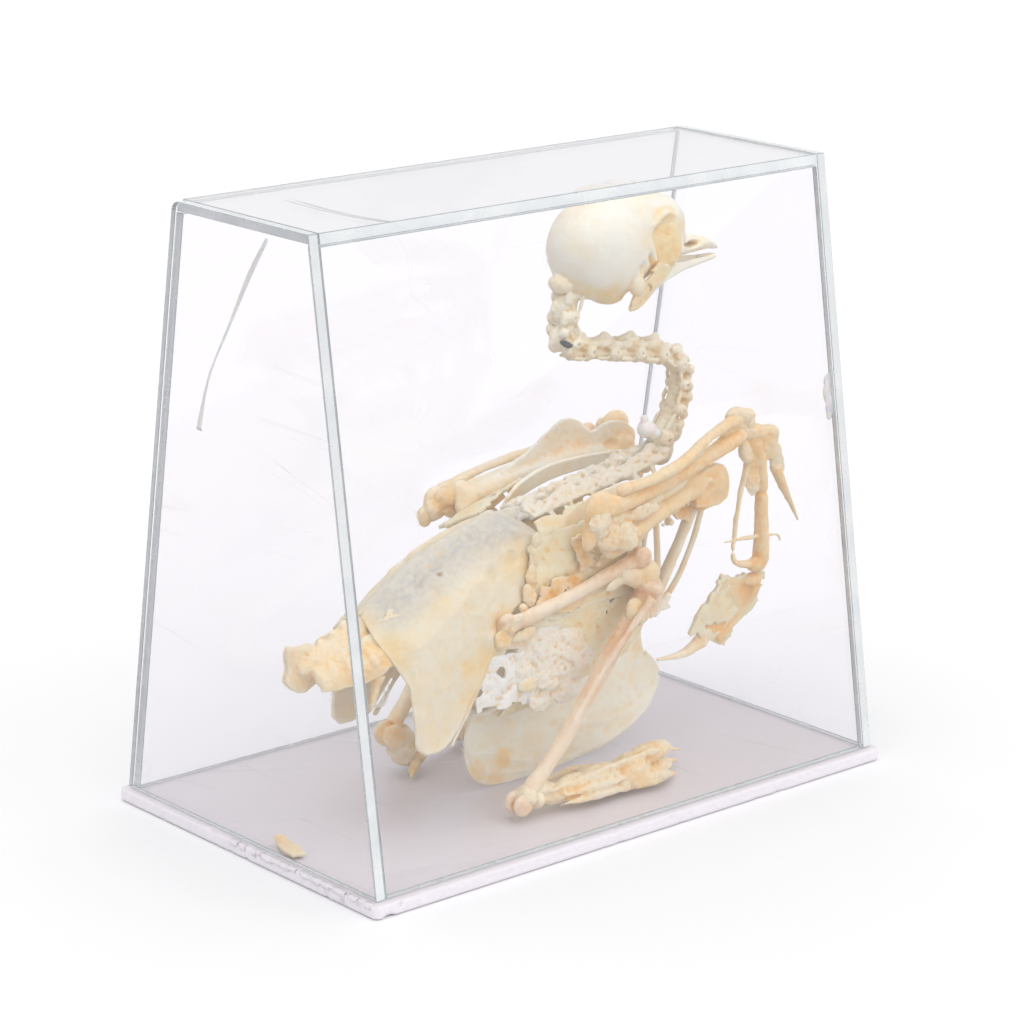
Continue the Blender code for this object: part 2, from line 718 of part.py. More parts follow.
def right_wing():
    limb(
        "humerus_right",
        [(42.0, -21.4, 66.0, 2.3), (34.0, -22.8, 65.6, 2.1), (22.0, -25.4, 63.4, 2.0), (12.0, -27.4, 61.0, 2.2)],
        [
            ((43.0, -21.0, 66.2), (5.4, 2.4, 5.6), (1, -0.2, 0.25)),
            ((35.6, -22.8, 67.0), (5.4, 1.3, 2.6), (1, -0.25, 0.05)),
            ((9.4, -27.6, 60.4), (3.0, 2.6, 4.4), (1, -0.2, 0.2)),
        ],
    )
    limb(
        "ulna_right",
        [(2.0, -28.8, 69.0, 2.7), (12.0, -27.6, 69.2, 2.1), (26.0, -25.4, 70.6, 1.9), (38.0, -24.0, 73.4, 1.9), (48.6, -22.4, 76.0, 2.2)],
        [
            ((0.4, -29.2, 68.8), (4.4, 2.1, 4.6), (1, 0, 0.2)),
            ((-2.6, -29.4, 63.6), (1.9, 1.7, 3.6), (1, 0, -0.3)),
            ((49.4, -22.2, 76.2), (2.6, 2.2, 2.6), (1, 0, 0.3)),
        ],
    )
    limb(
        "radius_right",
        [(8.0, -29.4, 72.6, 1.2), (15.0, -29.4, 73.0, 1.3), (26.0, -28.4, 75.0, 1.4), (38.0, -25.6, 79.0, 1.25), (49.0, -22.6, 80.4, 1.6)],
        [((7.8, -29.4, 72.6), (2.2, 1.3, 1.5), (1, 0, 0.2)), ((49.6, -22.2, 80.4), (2.2, 1.7, 1.8), (1, 0, 0))],
    )
    limb("wrist_right", [(52.8, -21.8, 79.2, 1.4), (54.4, -21.6, 79.0, 1.3)], [((53.6, -21.8, 79.2), (1.7, 1.8, 2.2), (1, 0, 0))])
    metacarpals = [
        tube([(56.0, -21.2, 73.6, 2.2), (59.0, -21.0, 66.0, 1.8), (59.8, -21.0, 55.0, 1.7), (60.0, -21.0, 43.8, 2.0)]),
        tube([(55.0, -21.2, 70.0, 1.0), (52.8, -21.0, 62.0, 0.7), (51.2, -21.0, 53.0, 0.65), (51.0, -21.0, 45.6, 0.8), (57.0, -21.0, 43.4, 1.1)], 6.0, 1),
        ball((55.8, -21.2, 74.4), (3.4, 2.0, 3.6), segments=8, rings=6),
        ball((61.4, -21.2, 71.0), (2.4, 1.5, 2.8), segments=7, rings=5),
        ball((58.6, -21.0, 43.2), (2.8, 1.8, 2.0), segments=7, rings=5),
    ]
    node("carpometacarpus_right", metacarpals)
    limb("alula_right", [(63.6, -21.2, 66.6, 1.5), (66.6, -21.2, 61.0, 1.1), (69.6, -21.2, 55.8, 0.7), (72.0, -21.2, 51.6, 0.3)], [])
    blade = [
        [(61.8, -19.6, 38.6), (57.6, -19.6, 39.8), (53.4, -19.4, 40.6), (49.6, -19.2, 41.2)],
        [(60.6, -18.8, 34.2), (56.4, -18.8, 35.6), (51.6, -18.6, 36.6), (47.2, -18.4, 37.4)],
        [(56.0, -17.4, 28.6), (52.4, -17.4, 30.2), (48.0, -17.2, 31.8), (43.8, -17.0, 33.0)],
        [(51.6, -16.4, 23.4), (49.0, -16.2, 24.8), (45.4, -16.2, 26.8), (42.0, -16.0, 28.6)],
    ]
    pieces = [
        sheet(blade, 1.0),
        tube([(59.6, -19.6, 38.8, 1.6), (57.6, -18.2, 32.0, 1.2), (50.6, -16.4, 25.2, 1.3)], 7.0),
        tube([(51.0, -19.4, 41.0, 1.0), (46.0, -17.6, 35.0, 0.7), (43.0, -16.2, 28.6, 0.7)], 7.0, 1),
        ball((58.6, -19.8, 39.2), (3.0, 1.7, 1.6), segments=7, rings=5),
    ]
    node("wing_digit_right", pieces)
    limb("wing_tip_right", [(46.2, -15.8, 25.6, 1.9), (41.0, -16.0, 23.8, 1.1), (36.0, -16.2, 23.6, 0.7), (30.8, -16.8, 24.2, 0.35)], [])


def left_wing():
    limb(
        "humerus_left",
        [(38.6, 6.0, 69.4, 2.6), (30.0, 9.8, 68.6, 2.4), (18.0, 15.6, 65.0, 2.2), (6.0, 21.4, 60.6, 2.5)],
        [
            ((38.8, 5.8, 69.6), (4.6, 2.4, 4.8), (0.9, -0.4, 0.2)),
            ((26.6, 11.2, 73.0), (6.0, 1.3, 5.0), (0.9, -0.4, 0.4)),
            ((4.4, 21.4, 60.2), (3.0, 2.6, 4.2), (0.9, -0.4, 0.2)),
        ],
    )
    limb(
        "ulna_left",
        [(0.6, 26.2, 58.4, 2.6), (10.0, 25.9, 60.4, 2.0), (24.0, 25.4, 62.6, 1.9), (36.0, 23.8, 64.6, 1.9), (44.6, 21.8, 66.0, 2.1)],
        [
            ((-0.6, 26.0, 58.6), (3.6, 2.0, 4.2), (1, 0, 0.3)),
            ((-4.4, 25.8, 56.0), (2.0, 1.7, 2.6), (1, 0, 0)),
            ((45.0, 21.6, 66.0), (2.4, 2.0, 2.4), (1, 0, 0)),
        ],
    )
    limb(
        "radius_left",
        [(3.6, 28.6, 60.8, 1.4), (14.0, 28.8, 63.2, 1.1), (24.0, 28.2, 64.9, 1.1), (34.0, 26.6, 66.4, 1.1), (43.6, 23.6, 69.2, 1.4)],
        [((3.6, 28.6, 60.8), (2.0, 1.5, 1.6), (1, 0, 0.2)), ((44.4, 23.2, 69.6), (2.0, 1.6, 1.6), (1, 0, 0))],
    )
    limb("wrist_left", [(47.0, 21.6, 70.0, 1.3), (48.4, 21.4, 70.4, 1.2)], [((47.8, 21.6, 70.2), (1.7, 1.6, 2.0), (1, 0, 0))])
    metacarpals = [
        tube([(49.6, 19.4, 69.0, 2.2), (41.0, 19.2, 66.4, 1.8), (29.0, 19.8, 64.2, 1.7), (18.0, 20.8, 61.4, 2.0)]),
        tube([(46.0, 18.8, 67.4, 1.0), (38.0, 16.0, 64.4, 0.7), (29.0, 16.2, 62.8, 0.65), (22.0, 18.6, 61.6, 0.8), (18.6, 20.6, 61.2, 1.1)], 6.0, 1),
        ball((49.4, 19.0, 70.6), (4.4, 2.0, 3.8), segments=8, rings=6),
        ball((17.6, 20.8, 61.2), (1.8, 2.0, 2.2), segments=7, rings=5),
    ]
    node("carpometacarpus_left", metacarpals)
    limb("alula_left", [(43.0, 17.6, 70.4, 1.2), (37.0, 16.8, 69.4, 0.9), (31.6, 16.4, 67.6, 0.4)], [])
    blade = [
        [(15.0, 20.8, 62.4), (15.0, 20.6, 60.4), (15.0, 20.4, 58.4)],
        [(9.0, 20.6, 60.4), (9.0, 20.2, 58.0), (8.6, 20.0, 55.6)],
        [(3.0, 19.8, 57.0), (2.6, 19.6, 55.2), (2.2, 19.4, 53.4)],
        [(-2.0, 19.0, 54.6), (-2.4, 18.8, 53.2), (-2.8, 18.6, 52.2)],
    ]
    pieces = [
        sheet(blade, 1.0),
        tube([(15.4, 20.8, 61.8, 1.5), (6.0, 20.2, 58.6, 1.1), (-2.2, 18.9, 54.0, 1.2)], 7.0),
        tube([(15.2, 20.6, 58.8, 0.9), (6.0, 19.8, 54.8, 0.7), (-2.6, 18.8, 52.6, 0.8)], 7.0, 1),
    ]
    node("wing_digit_left", pieces)
    limb("wing_tip_left", [(-4.4, 18.4, 52.4, 1.4), (-9.6, 17.8, 50.2, 1.0), (-14.6, 17.4, 48.2, 0.7), (-19.0, 17.0, 46.6, 0.35)], [])


# Legs: the bird sits on its breastbone with its feet laid flat


def right_leg():
    limb(
        "femur_right",
        [(-18.8, -21.2, 43.8, 1.9), (-8.0, -23.4, 47.0, 1.7), (4.0, -25.2, 50.8, 1.7), (13.8, -26.8, 54.0, 2.0)],
        [
            ((-19.6, -20.8, 43.6), (2.6, 2.2, 3.0), (1, -0.2, 0.2)),
            ((15.0, -25.8, 54.6), (2.4, 1.6, 2.5), (1, -0.2, 0.3)),
            ((14.8, -28.2, 55.0), (2.4, 1.5, 2.5), (1, -0.2, 0.3)),
        ],
    )
    shin = [
        tube([(17.6, -27.4, 46.6, 3.0), (13.4, -27.5, 42.2, 2.3), (3.4, -27.6, 30.6, 1.9), (-8.6, -27.8, 15.9, 1.75), (-19.6, -28.0, 5.6, 2.0)]),
        ball((17.2, -27.4, 47.4), (3.6, 4.0, 2.2), (1, 0, -0.4), segments=8, rings=6),
        ball((20.0, -26.4, 43.6), (3.0, 0.9, 4.8), (1, 0, -0.2), segments=7, rings=6),
        ball((-21.4, -26.6, 4.4), (2.8, 1.5, 2.7), (1, 0, 0), segments=8, rings=6),
        ball((-21.4, -29.4, 4.4), (2.8, 1.5, 2.7), (1, 0, 0), segments=8, rings=6),
        tube([(15.4, -31.0, 45.8, 1.2), (9.8, -30.4, 40.0, 0.8), (1.6, -29.4, 30.4, 0.6), (-8.4, -28.8, 17.6, 0.5)], 9.0, 1),
    ]
    node("tibiotarsus_right", shin)
    limb(
        "tarsometatarsus_right",
        [(-16.8, -28.4, 4.8, 1.9), (-8.0, -28.8, 4.6, 1.8), (0.0, -29.0, 4.0, 1.8), (7.0, -29.0, 3.4, 2.2)],
        [((-17.2, -28.2, 4.8), (1.9, 3.2, 2.4), (1, 0, 0)), ((7.6, -29.0, 3.2), (2.2, 3.8, 1.9), (1, 0, 0))],
    )
    toes(
        "right",
        [(10.8, -26.8, 4.2), (18.0, -24.0, 6.4), (26.5, -21.2, 4.6), (36.0, -19.8, 1.6)],
        [(11.0, -29.4, 3.2), (18.0, -28.4, 3.6), (25.0, -25.8, 2.8), (31.0, -23.8, 1.4)],
        [(10.6, -32.2, 2.8), (15.0, -33.0, 2.6), (20.0, -31.6, 2.2), (25.0, -29.4, 1.2)],
        [(6.6, -24.6, 4.2), (8.0, -20.2, 3.8), (3.0, -17.0, 3.0), (-3.0, -15.4, 1.6)],
    )


def left_leg():
    limb(
        "femur_left",
        [(-18.6, 5.6, 44.6, 1.9), (-10.0, 10.4, 47.2, 1.7), (0.0, 15.6, 50.4, 1.7), (9.0, 20.4, 53.2, 2.1)],
        [
            ((-19.6, 5.0, 44.4), (2.6, 2.2, 3.2), (0.9, 0.4, 0.2)),
            ((9.6, 22.4, 53.6), (2.8, 1.7, 2.9), (0.9, 0.4, 0.3)),
            ((11.0, 19.6, 53.8), (2.8, 1.6, 3.0), (0.9, 0.4, 0.3)),
        ],
    )
    shin = [
        tube([(12.6, 21.8, 46.8, 3.0), (8.0, 20.6, 42.6, 2.3), (-3.0, 18.0, 33.0, 1.9), (-14.0, 15.2, 23.0, 1.75), (-24.8, 12.4, 12.8, 2.0)]),
        ball((12.6, 21.8, 47.2), (3.6, 4.0, 2.2), (1, 0.2, -0.4), segments=8, rings=6),
        ball((15.0, 21.2, 43.6), (3.0, 0.9, 4.6), (1, 0.2, -0.2), segments=7, rings=6),
        ball((-26.4, 13.4, 10.8), (2.8, 1.6, 3.2), (1, -0.3, 0.6), segments=8, rings=6),
        ball((-25.8, 10.6, 10.6), (2.8, 1.6, 3.2), (1, -0.3, 0.6), segments=8, rings=6),
        tube([(10.6, 25.0, 45.4, 1.2), (4.0, 22.6, 40.0, 0.8), (-5.0, 20.0, 31.6, 0.6), (-14.0, 16.6, 23.4, 0.5)], 9.0, 1),
    ]
    node("tibiotarsus_left", shin)
    limb(
        "tarsometatarsus_left",
        [(-22.0, 12.8, 6.4, 1.9), (-15.0, 14.4, 5.8, 1.8), (-6.0, 16.6, 4.8, 1.8), (2.6, 18.8, 3.6, 2.2)],
        [((-23.4, 12.4, 6.2), (2.4, 3.2, 2.0), (1, 0.2, -0.2)), ((3.4, 19.0, 3.4), (2.2, 3.8, 1.9), (1, 0.2, 0))],
    )
    toes(
        "left",
        [(6.6, 16.8, 3.6), (13.0, 15.4, 3.4), (20.0, 15.8, 2.6), (26.0, 17.6, 1.4)],
        [(7.2, 19.6, 3.4), (15.0, 20.4, 3.2), (23.0, 22.0, 2.6), (31.0, 24.4, 1.4)],
        [(6.4, 22.4, 3.2), (13.0, 25.0, 2.8), (19.0, 27.0, 2.2), (25.0, 28.6, 1.2)],
        [(-19.6, 9.6, 4.6), (-21.4, 8.6, 3.0), (-23.4, 7.2, 1.9), (-25.0, 5.6, 0.9)],
    )


TOE_RADII = (1.15, 0.95, 0.75, 0.3)


def toes(side, inner, middle, outer, hind):
    """Four toes, each with a knuckle at every joint and a fine tip."""
    for name, line in (("inner", inner), ("middle", middle), ("outer", outer), ("hind", hind)):
        rows = [(*p, r) for p, r in zip(line, TOE_RADII)]
        knobs = [(p, (1.4, 1.35, 1.25), (1, 0, 0)) for p in line[:2]]
        pieces = [tube(rows, 5.0, 1)]
        pieces += [ball(centre, size, along, segments=6, rings=5) for centre, size, along in knobs]
        node("toe_" + name + "_" + side, pieces)


# Small things on the mount


def small_things():
    bead = [
        ball((34.4, MIDLINE, 77.6), (2.4, 2.2, 2.1), segments=8, rings=6),
        ball((33.6, MIDLINE, 80.2), (1.0, 1.0, 1.0), segments=6, rings=5),
    ]
    node("glue_bead", bead, GLUE)
    chip = [
        [(-70.4, -4.8, 1.7), (-71.6, -8.0, 1.2), (-72.4, -11.0, 1.0), (-72.8, -14.6, 0.9)],
        [(-68.6, -5.4, 1.9), (-69.0, -8.6, 1.5), (-69.4, -11.6, 1.2), (-70.0, -15.6, 1.0)],
    ]
    node("bone_chip", [sheet(chip, 1.0)])


base_plate()
cover()
skull()
mandible()
neck_length("neck_upper", 0, 2, (-1.0, 0.0, 0.0))
neck_length("neck_middle", 2, 6, (0.0, 0.0, 1.0))
neck_length("neck_lower", 6, 10, (1.0, 0.0, 0.3))
sternum()
pelvis()
rib_cage("rib_cage_right", -1.0)
rib_cage("rib_cage_left", 1.0)
tail_bones()
coracoid("coracoid_right", list)
coracoid("coracoid_left", opposite)
scapula("scapula_right", list, 2.6)
scapula("scapula_left", opposite, 0.0)
furcula()
right_wing()
left_wing()
right_leg()
left_leg()
small_things()
cut_clear([obj for obj in NODES.objects if not obj.name.startswith(("case_", "base_"))])
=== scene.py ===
"""A pigeon's skeleton on a white board under a clear acrylic cover, life size, for a museum shelf.

Metres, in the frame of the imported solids, +Z up. Points and radii of bones are written in
millimetres above the board's top. +X is the way the bill points and -Y the bird's right side.
"""

import json
import math
import random

import bmesh
import bpy
import numpy as np
from mathutils import Matrix, Vector, noise

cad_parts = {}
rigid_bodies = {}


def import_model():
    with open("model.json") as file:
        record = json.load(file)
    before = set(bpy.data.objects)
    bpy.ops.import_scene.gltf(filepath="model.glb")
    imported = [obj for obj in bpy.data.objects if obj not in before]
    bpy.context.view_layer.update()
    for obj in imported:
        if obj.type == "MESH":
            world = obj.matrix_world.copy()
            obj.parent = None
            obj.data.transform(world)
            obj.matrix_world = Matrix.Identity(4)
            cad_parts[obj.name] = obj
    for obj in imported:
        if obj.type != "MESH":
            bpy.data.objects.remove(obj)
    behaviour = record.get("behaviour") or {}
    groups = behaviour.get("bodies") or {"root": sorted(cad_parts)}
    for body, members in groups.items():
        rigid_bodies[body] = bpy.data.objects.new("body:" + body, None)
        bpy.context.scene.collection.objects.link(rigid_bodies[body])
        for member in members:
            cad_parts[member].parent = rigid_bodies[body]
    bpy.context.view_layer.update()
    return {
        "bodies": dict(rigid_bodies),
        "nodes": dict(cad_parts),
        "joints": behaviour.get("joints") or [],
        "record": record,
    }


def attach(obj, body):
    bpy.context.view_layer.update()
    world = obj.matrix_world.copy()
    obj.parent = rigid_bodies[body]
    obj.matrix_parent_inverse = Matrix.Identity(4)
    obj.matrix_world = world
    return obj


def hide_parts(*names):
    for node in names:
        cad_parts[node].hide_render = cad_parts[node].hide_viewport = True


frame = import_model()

# The board
# A sheet of white foamed plastic, 154 x 94 x 3 mm, sawn to size with its corners eased.
# The cover stands on it and the bird is glued to it, and its sawn edges are chipped and flaky.

MM = 0.001
BOARD_LENGTH = 154
BOARD_WIDTH = 94
BOARD_THICK = 3
BOARD_CORNER = 1.2
BOARD_STEP = 0.5  # between points along the sawn edge
BOARD_PROFILE = ((0.35, 0), (0.05, 0.25), (0, 0.9), (0, 1.6), (0, 2.2), (0.04, 2.7), (0.3, 3), (1.4, 3))
CHIP_DEPTH = 0.5
CHIPS_FROM = 0.28  # where the rough pattern starts to bite
TAIL_END_WEAR = 2.4  # how much deeper the chips are at the tail end
BUMP_REACH = 0.0003
BOARD_WHITE = (0.74, 0.695, 0.725, 1)
BOARD_WORN = (0.79, 0.745, 0.775, 1)
BOARD_CORE = (0.88, 0.84, 0.9, 1)
BOARD_PORES = (0.74, 0.71, 0.75, 1)


def shaded(obj, material):
    """Smooth faces and one material."""
    obj.data.materials.clear()
    obj.data.materials.append(material)
    obj.data.shade_smooth()
    return obj


def linked(name, data):
    """A new object in the scene with a mesh, a lamp or a camera in it."""
    obj = bpy.data.objects.new(name, data)
    bpy.context.scene.collection.objects.link(obj)
    return obj


def object_from(bm, name):
    """A new object from a mesh being built, with its faces turned outwards."""
    bmesh.ops.recalc_face_normals(bm, faces=bm.faces)
    return as_built(bm, name)


def as_built(bm, name):
    """A new object from a mesh being built, with its faces as they are."""
    mesh = bpy.data.meshes.new(name)
    bm.to_mesh(mesh)
    bm.free()
    return linked(name, mesh)


def new_material(name):
    """A material with its shader, and the tools to wire it."""
    material = bpy.data.materials.new(name)
    material.use_nodes = True
    tree = material.node_tree
    return material, tree, tree.nodes["Principled BSDF"]


def wire(tree, kind, values=None, **settings):
    """A node of a kind, with its settings and with values or links on its inputs."""
    node = tree.nodes.new(kind)
    for key, value in settings.items():
        setattr(node, key, value)
    for key, value in (values or {}).items():
        if isinstance(value, bpy.types.NodeSocket):
            tree.links.new(value, node.inputs[key])
        else:
            node.inputs[key].default_value = value
    return node


def new_group(name, inputs, outputs):
    """A node group with named sockets: each is a name, a kind and, for an input, a value."""
    group = bpy.data.node_groups.new(name, "ShaderNodeTree")
    for title, kind, value in inputs:
        socket = group.interface.new_socket(title, in_out="INPUT", socket_type=kind)
        socket.default_value = value
    for title, kind in outputs:
        group.interface.new_socket(title, in_out="OUTPUT", socket_type=kind)
    return group, group.nodes.new("NodeGroupInput").outputs, group.nodes.new("NodeGroupOutput").inputs


def mapped(tree, value, low, high, least=0, most=1):
    """A value between low and high, clamped and laid over another range."""
    span = {"Value": value, "From Min": low, "From Max": high, "To Min": least, "To Max": most}
    return wire(tree, "ShaderNodeMapRange", span).outputs[0]


def worked(tree, operation, *values, clamp=False):
    """Plain arithmetic on values or links."""
    sums = dict(enumerate(values))
    return wire(tree, "ShaderNodeMath", sums, operation=operation, use_clamp=clamp).outputs[0]


def tinted(tree, share, a, b):
    """A colour that goes from a to b as share goes from 0 to 1."""
    mix = wire(tree, "ShaderNodeMix", {"Factor": share, "A": a, "B": b}, data_type="RGBA")
    return mix.outputs["Result"]


def cloudy(tree, place, scale, detail, roughness=0.5):
    """A cloudy pattern from 0 to 1."""
    values = {"Vector": place, "Scale": scale, "Detail": detail, "Roughness": roughness}
    return wire(tree, "ShaderNodeTexNoise", values).outputs["Fac"]


def finished(tree, shader, colour, roughness=None, height=None, strength=0):
    """Joins a colour, and where given a roughness and a height, to a material's shader."""
    tree.links.new(colour, shader.inputs["Base Color"])
    if roughness is not None:
        tree.links.new(roughness, shader.inputs["Roughness"])
    if height is not None:
        bump = wire(tree, "ShaderNodeBump", {"Strength": strength, "Distance": BUMP_REACH, "Height": height})
        tree.links.new(bump.outputs[0], shader.inputs["Normal"])


def board_edge():
    """The outline of the board's top, corner by corner, as x and y in millimetres."""
    found = []
    straight_x = BOARD_LENGTH / 2 - BOARD_CORNER
    straight_y = BOARD_WIDTH / 2 - BOARD_CORNER
    corners = ((1, -1, -90), (1, 1, 0), (-1, 1, 90), (-1, -1, 180))
    for index, (sx, sy, start) in enumerate(corners):
        for k in range(5):
            turn = math.radians(start + 22.5 * k)
            x = sx * straight_x + BOARD_CORNER * math.cos(turn)
            y = sy * straight_y + BOARD_CORNER * math.sin(turn)
            found.append((x, y))
        side = 2 * (straight_y if index % 2 == 0 else straight_x)
        nx, ny, _ = corners[(index + 1) % 4]
        turn = math.radians(start + 90)
        x1 = nx * straight_x + BOARD_CORNER * math.cos(turn)
        y1 = ny * straight_y + BOARD_CORNER * math.sin(turn)
        x0, y0 = found[-1]
        count = round(side / BOARD_STEP)
        for k in range(1, count):
            found.append((x0 + (x1 - x0) * k / count, y0 + (y1 - y0) * k / count))
    return found


def board():
    """A stack of outlines, drawn in and down where the sawn edge is chipped."""
    bm = bmesh.new()
    loops = []
    for inset, height in BOARD_PROFILE:
        loop = []
        for x, y in board_edge():
            rough = noise.noise(Vector((x * 0.35, y * 0.35, height * 0.8)))
            fine = noise.noise(Vector((x * 1.3, y * 1.3, height * 1.4 + 9)))
            ragged = TAIL_END_WEAR if x < -70 and y < 6 else 1
            chip = max(0, rough - CHIPS_FROM) * 1.5 * CHIP_DEPTH * ragged + abs(fine) * 0.12
            inward = inset + (chip if inset < 1 else 0)
            fall = chip * 0.9 if 2.6 < height and inset < 1 else 0
            sx = 1 - 2 * inward / BOARD_LENGTH
            sy = 1 - 2 * inward / BOARD_WIDTH
            loop.append(bm.verts.new((x * sx * MM, y * sy * MM, (height - fall) * MM)))
        loops.append(loop)
    for a, b in zip(loops, loops[1:]):
        for i in range(len(a)):
            j = (i + 1) % len(a)
            bm.faces.new((a[i], a[j], b[j], b[i]))
    bm.faces.new(reversed(loops[0]))
    bm.faces.new(loops[-1])
    return object_from(bm, "board")


def scuff_group():
    """Cloudy wear, fine grain and thin scratches, for the board and the acrylic alike."""
    sizes = (("Cloud Scale", 40), ("Grain Scale", 2500), ("Scratch Scale", 60), ("Scratch Width", 0.02))
    marks = ("Cloud", "Grain", "Scratch")
    group, given, made = new_group(
        "scuffs",
        [(title, "NodeSocketFloat", size) for title, size in sizes],
        [(title, "NodeSocketFloat") for title in marks],
    )
    place = wire(group, "ShaderNodeTexCoord").outputs["Object"]
    cloud = cloudy(group, place, given["Cloud Scale"], 2)
    grain = cloudy(group, place, given["Grain Scale"], 2)
    slant = {"Vector": place, "Rotation": (0.5, 0.9, 0.3), "Scale": (1, 0.16, 1)}
    bent = wire(group, "ShaderNodeMapping", slant).outputs[0]
    lines = cloudy(group, bent, given["Scratch Scale"], 1)
    off = worked(group, "ABSOLUTE", worked(group, "SUBTRACT", lines, 0.5))
    thin = mapped(group, off, given["Scratch Width"], 0)
    scratch = worked(group, "MULTIPLY", thin, mapped(group, cloud, 0.5, 0.62))
    for title, mark in zip(marks, (cloud, grain, scratch)):
        group.links.new(mark, made[title])
    return group


SCUFFS = scuff_group()


def worn(tree, cloud=40, grain=2500, scratch=60, width=0.02):
    """The scuffs in a material, with its own sizes for them."""
    wear = wire(tree, "ShaderNodeGroup", node_tree=SCUFFS)
    for socket, size in zip(wear.inputs, (cloud, grain, scratch, width)):
        socket.default_value = size
    return wear.outputs


def board_finish():
    """A satin white skin with a little dust, and the open foam of the sawn edge."""
    material, tree, shader = new_material("board_white")
    wear = worn(tree, 45, 1800, 45, 0.015)
    normal = wire(tree, "ShaderNodeNewGeometry").outputs["Normal"]
    upright = wire(tree, "ShaderNodeSeparateXYZ", {0: normal}).outputs["Z"]
    sawn = mapped(tree, upright, 0.9, 0.5)
    tone = tinted(tree, wear["Cloud"], BOARD_WHITE, BOARD_WORN)
    cut = tinted(tree, wear["Grain"], BOARD_CORE, BOARD_PORES)
    satin = mapped(tree, wear["Cloud"], 0, 1, 0.28, 0.46)
    rough = wire(tree, "ShaderNodeMix", {"Factor": sawn, "A": satin, "B": 0.85}).outputs[0]
    foam = worked(tree, "MULTIPLY", wear["Grain"], sawn)
    height = worked(tree, "SUBTRACT", foam, wear["Scratch"])
    finished(tree, shader, tinted(tree, sawn, tone, cut), rough, height, 0.5)
    return material


white = board_finish()
white_board = shaded(board(), white)
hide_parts("base_plate")
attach(white_board, "root")
FLAKES = 30
FLAKE_THICK = 0.22


def edge_flakes():
    """Flakes of the board's skin that lift along the sawn edge at the tail end."""
    chance = random.Random(12)
    bm = bmesh.new()
    for _ in range(FLAKES):
        middle = chance.uniform(-44.5, 3)
        half = chance.uniform(0.6, 2)
        low = chance.uniform(1.9, 2.5)
        lift = [chance.uniform(0, 0.3), chance.uniform(0, 0.3)]
        rows = []
        for k in range(6):
            rise = lift[0] + (lift[1] - lift[0]) * k / 5
            y = middle + half * (k / 2.5 - 1)
            out = -BOARD_LENGTH / 2 - rise
            jag = chance.uniform(-0.25, 0.25)
            root = (out + 1 + jag, BOARD_THICK + 0.1 + 0.3 * rise)
            lip = (out, BOARD_THICK - 0.05 + 0.4 * rise)
            tip = (out + 0.1, low + jag)
            rows.append([bm.verts.new((x * MM, y * MM, z * MM)) for x, z in (root, lip, tip)])
        for a, b in zip(rows, rows[1:]):
            for i in range(2):
                bm.faces.new((a[i], a[i + 1], b[i + 1], b[i]))
    obj = object_from(bm, "flakes_on_board_edge")
    body = obj.modifiers.new("body", "SOLIDIFY")
    body.thickness = FLAKE_THICK * MM
    body.offset = 0
    return shaded(obj, white)


flaked_edge = edge_flakes()
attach(flaked_edge, "root")

# The breastbone
# The sternum of a pigeon: a shallow bony dish with a deep keel under it, here still edged by
# dried cartilage. It is the first piece set on the board, and a drop of glue holds its keel.

MIDLINE = -8  # the bird's plane of symmetry, in Y
FINE = 0.26  # the grid that bones are fused on
DENSE = 0.25  # between the points that an even grid is picked from
GRISTLE_PASSES = 5
BLUR_PASSES = 10
HOLLOW_UNIT = 0.1  # the depth under its blurred skin that counts as 1
HOLLOW_LIMIT = 1.5
SWELL_SHARE = 1.6  # the height of broad swells to that of lumps
WEAK_SPOTS, FRAYS = 0.22, 0.8  # how quickly a thin sheet's weak places vary
RIM = 1.6  # the width that is frayed first
BONE_PALE = (0.95, 0.84, 0.65, 1)
BONE_HONEY = (0.94, 0.62, 0.28, 1)
# the dark of pore dots, and of the painted shade in the bones' hollows
BONE_PORES_AND_SHADE = (0.66, 0.36, 0.13, 1)
BONE_RIDGE_HIGHLIGHT = (0.93, 0.87, 0.74, 1)
# a paler colour for ridges that stand out: painted highlight
BONE_GREY = (0.55, 0.53, 0.49, 1)


def at(x, y, z):
    """A point in millimetres above the board's top, in metres."""
    return Vector((x, y, z + BOARD_THICK)) * MM


def opposite(points):
    """The same points on the bird's other side."""
    return [(p[0], 2 * MIDLINE - p[1], *p[2:]) for p in points]


def through(points, step):
    """Rows about every step along a smooth curve through the given rows."""
    rows = [Vector(p) for p in points]
    rows = [2 * rows[0] - rows[1], *rows, 2 * rows[-1] - rows[-2]]
    found = []
    for a, b, c, d in zip(rows, rows[1:], rows[2:], rows[3:]):
        long = (c - b).length if len(b) < 4 else (c - b).to_3d().length
        count = max(1, round(long / step))
        for k in range(count):
            t = k / count
            bend = (2 * a - 5 * b + 4 * c - d) * t * t + (3 * b - a - 3 * c + d) * t**3
            found.append((2 * b + (c - a) * t + bend) / 2)
    return [*found, rows[-2]]


def turned(along, up=(0, 0, 1)):
    """A rotation whose X runs along one direction and whose Z is as near as it can be to up."""
    x = Vector(along).normalized()
    y = Vector(up).cross(x)
    if y.length < 0.05:
        y = Vector((0, 1, 0)).cross(x)
    y.normalize()
    return Matrix((x, y, x.cross(y))).transposed().to_4x4()


def egg(bm, centre, size, along=(1, 0, 0), up=(0, 0, 1), segments=20):
    """An egg with its half sizes along, across and up."""
    place = Matrix.Translation(at(*centre)) @ turned(along, up) @ Matrix.Diagonal((*size, 1))
    bmesh.ops.create_uvsphere(
        bm, u_segments=segments, v_segments=segments * 2 // 3, radius=MM, matrix=place
    )


def eggs(bm, rows):
    """Eggs from rows of centre, half sizes and, unless it is level along X, direction."""
    for row in rows:
        egg(bm, *row)
    return bm


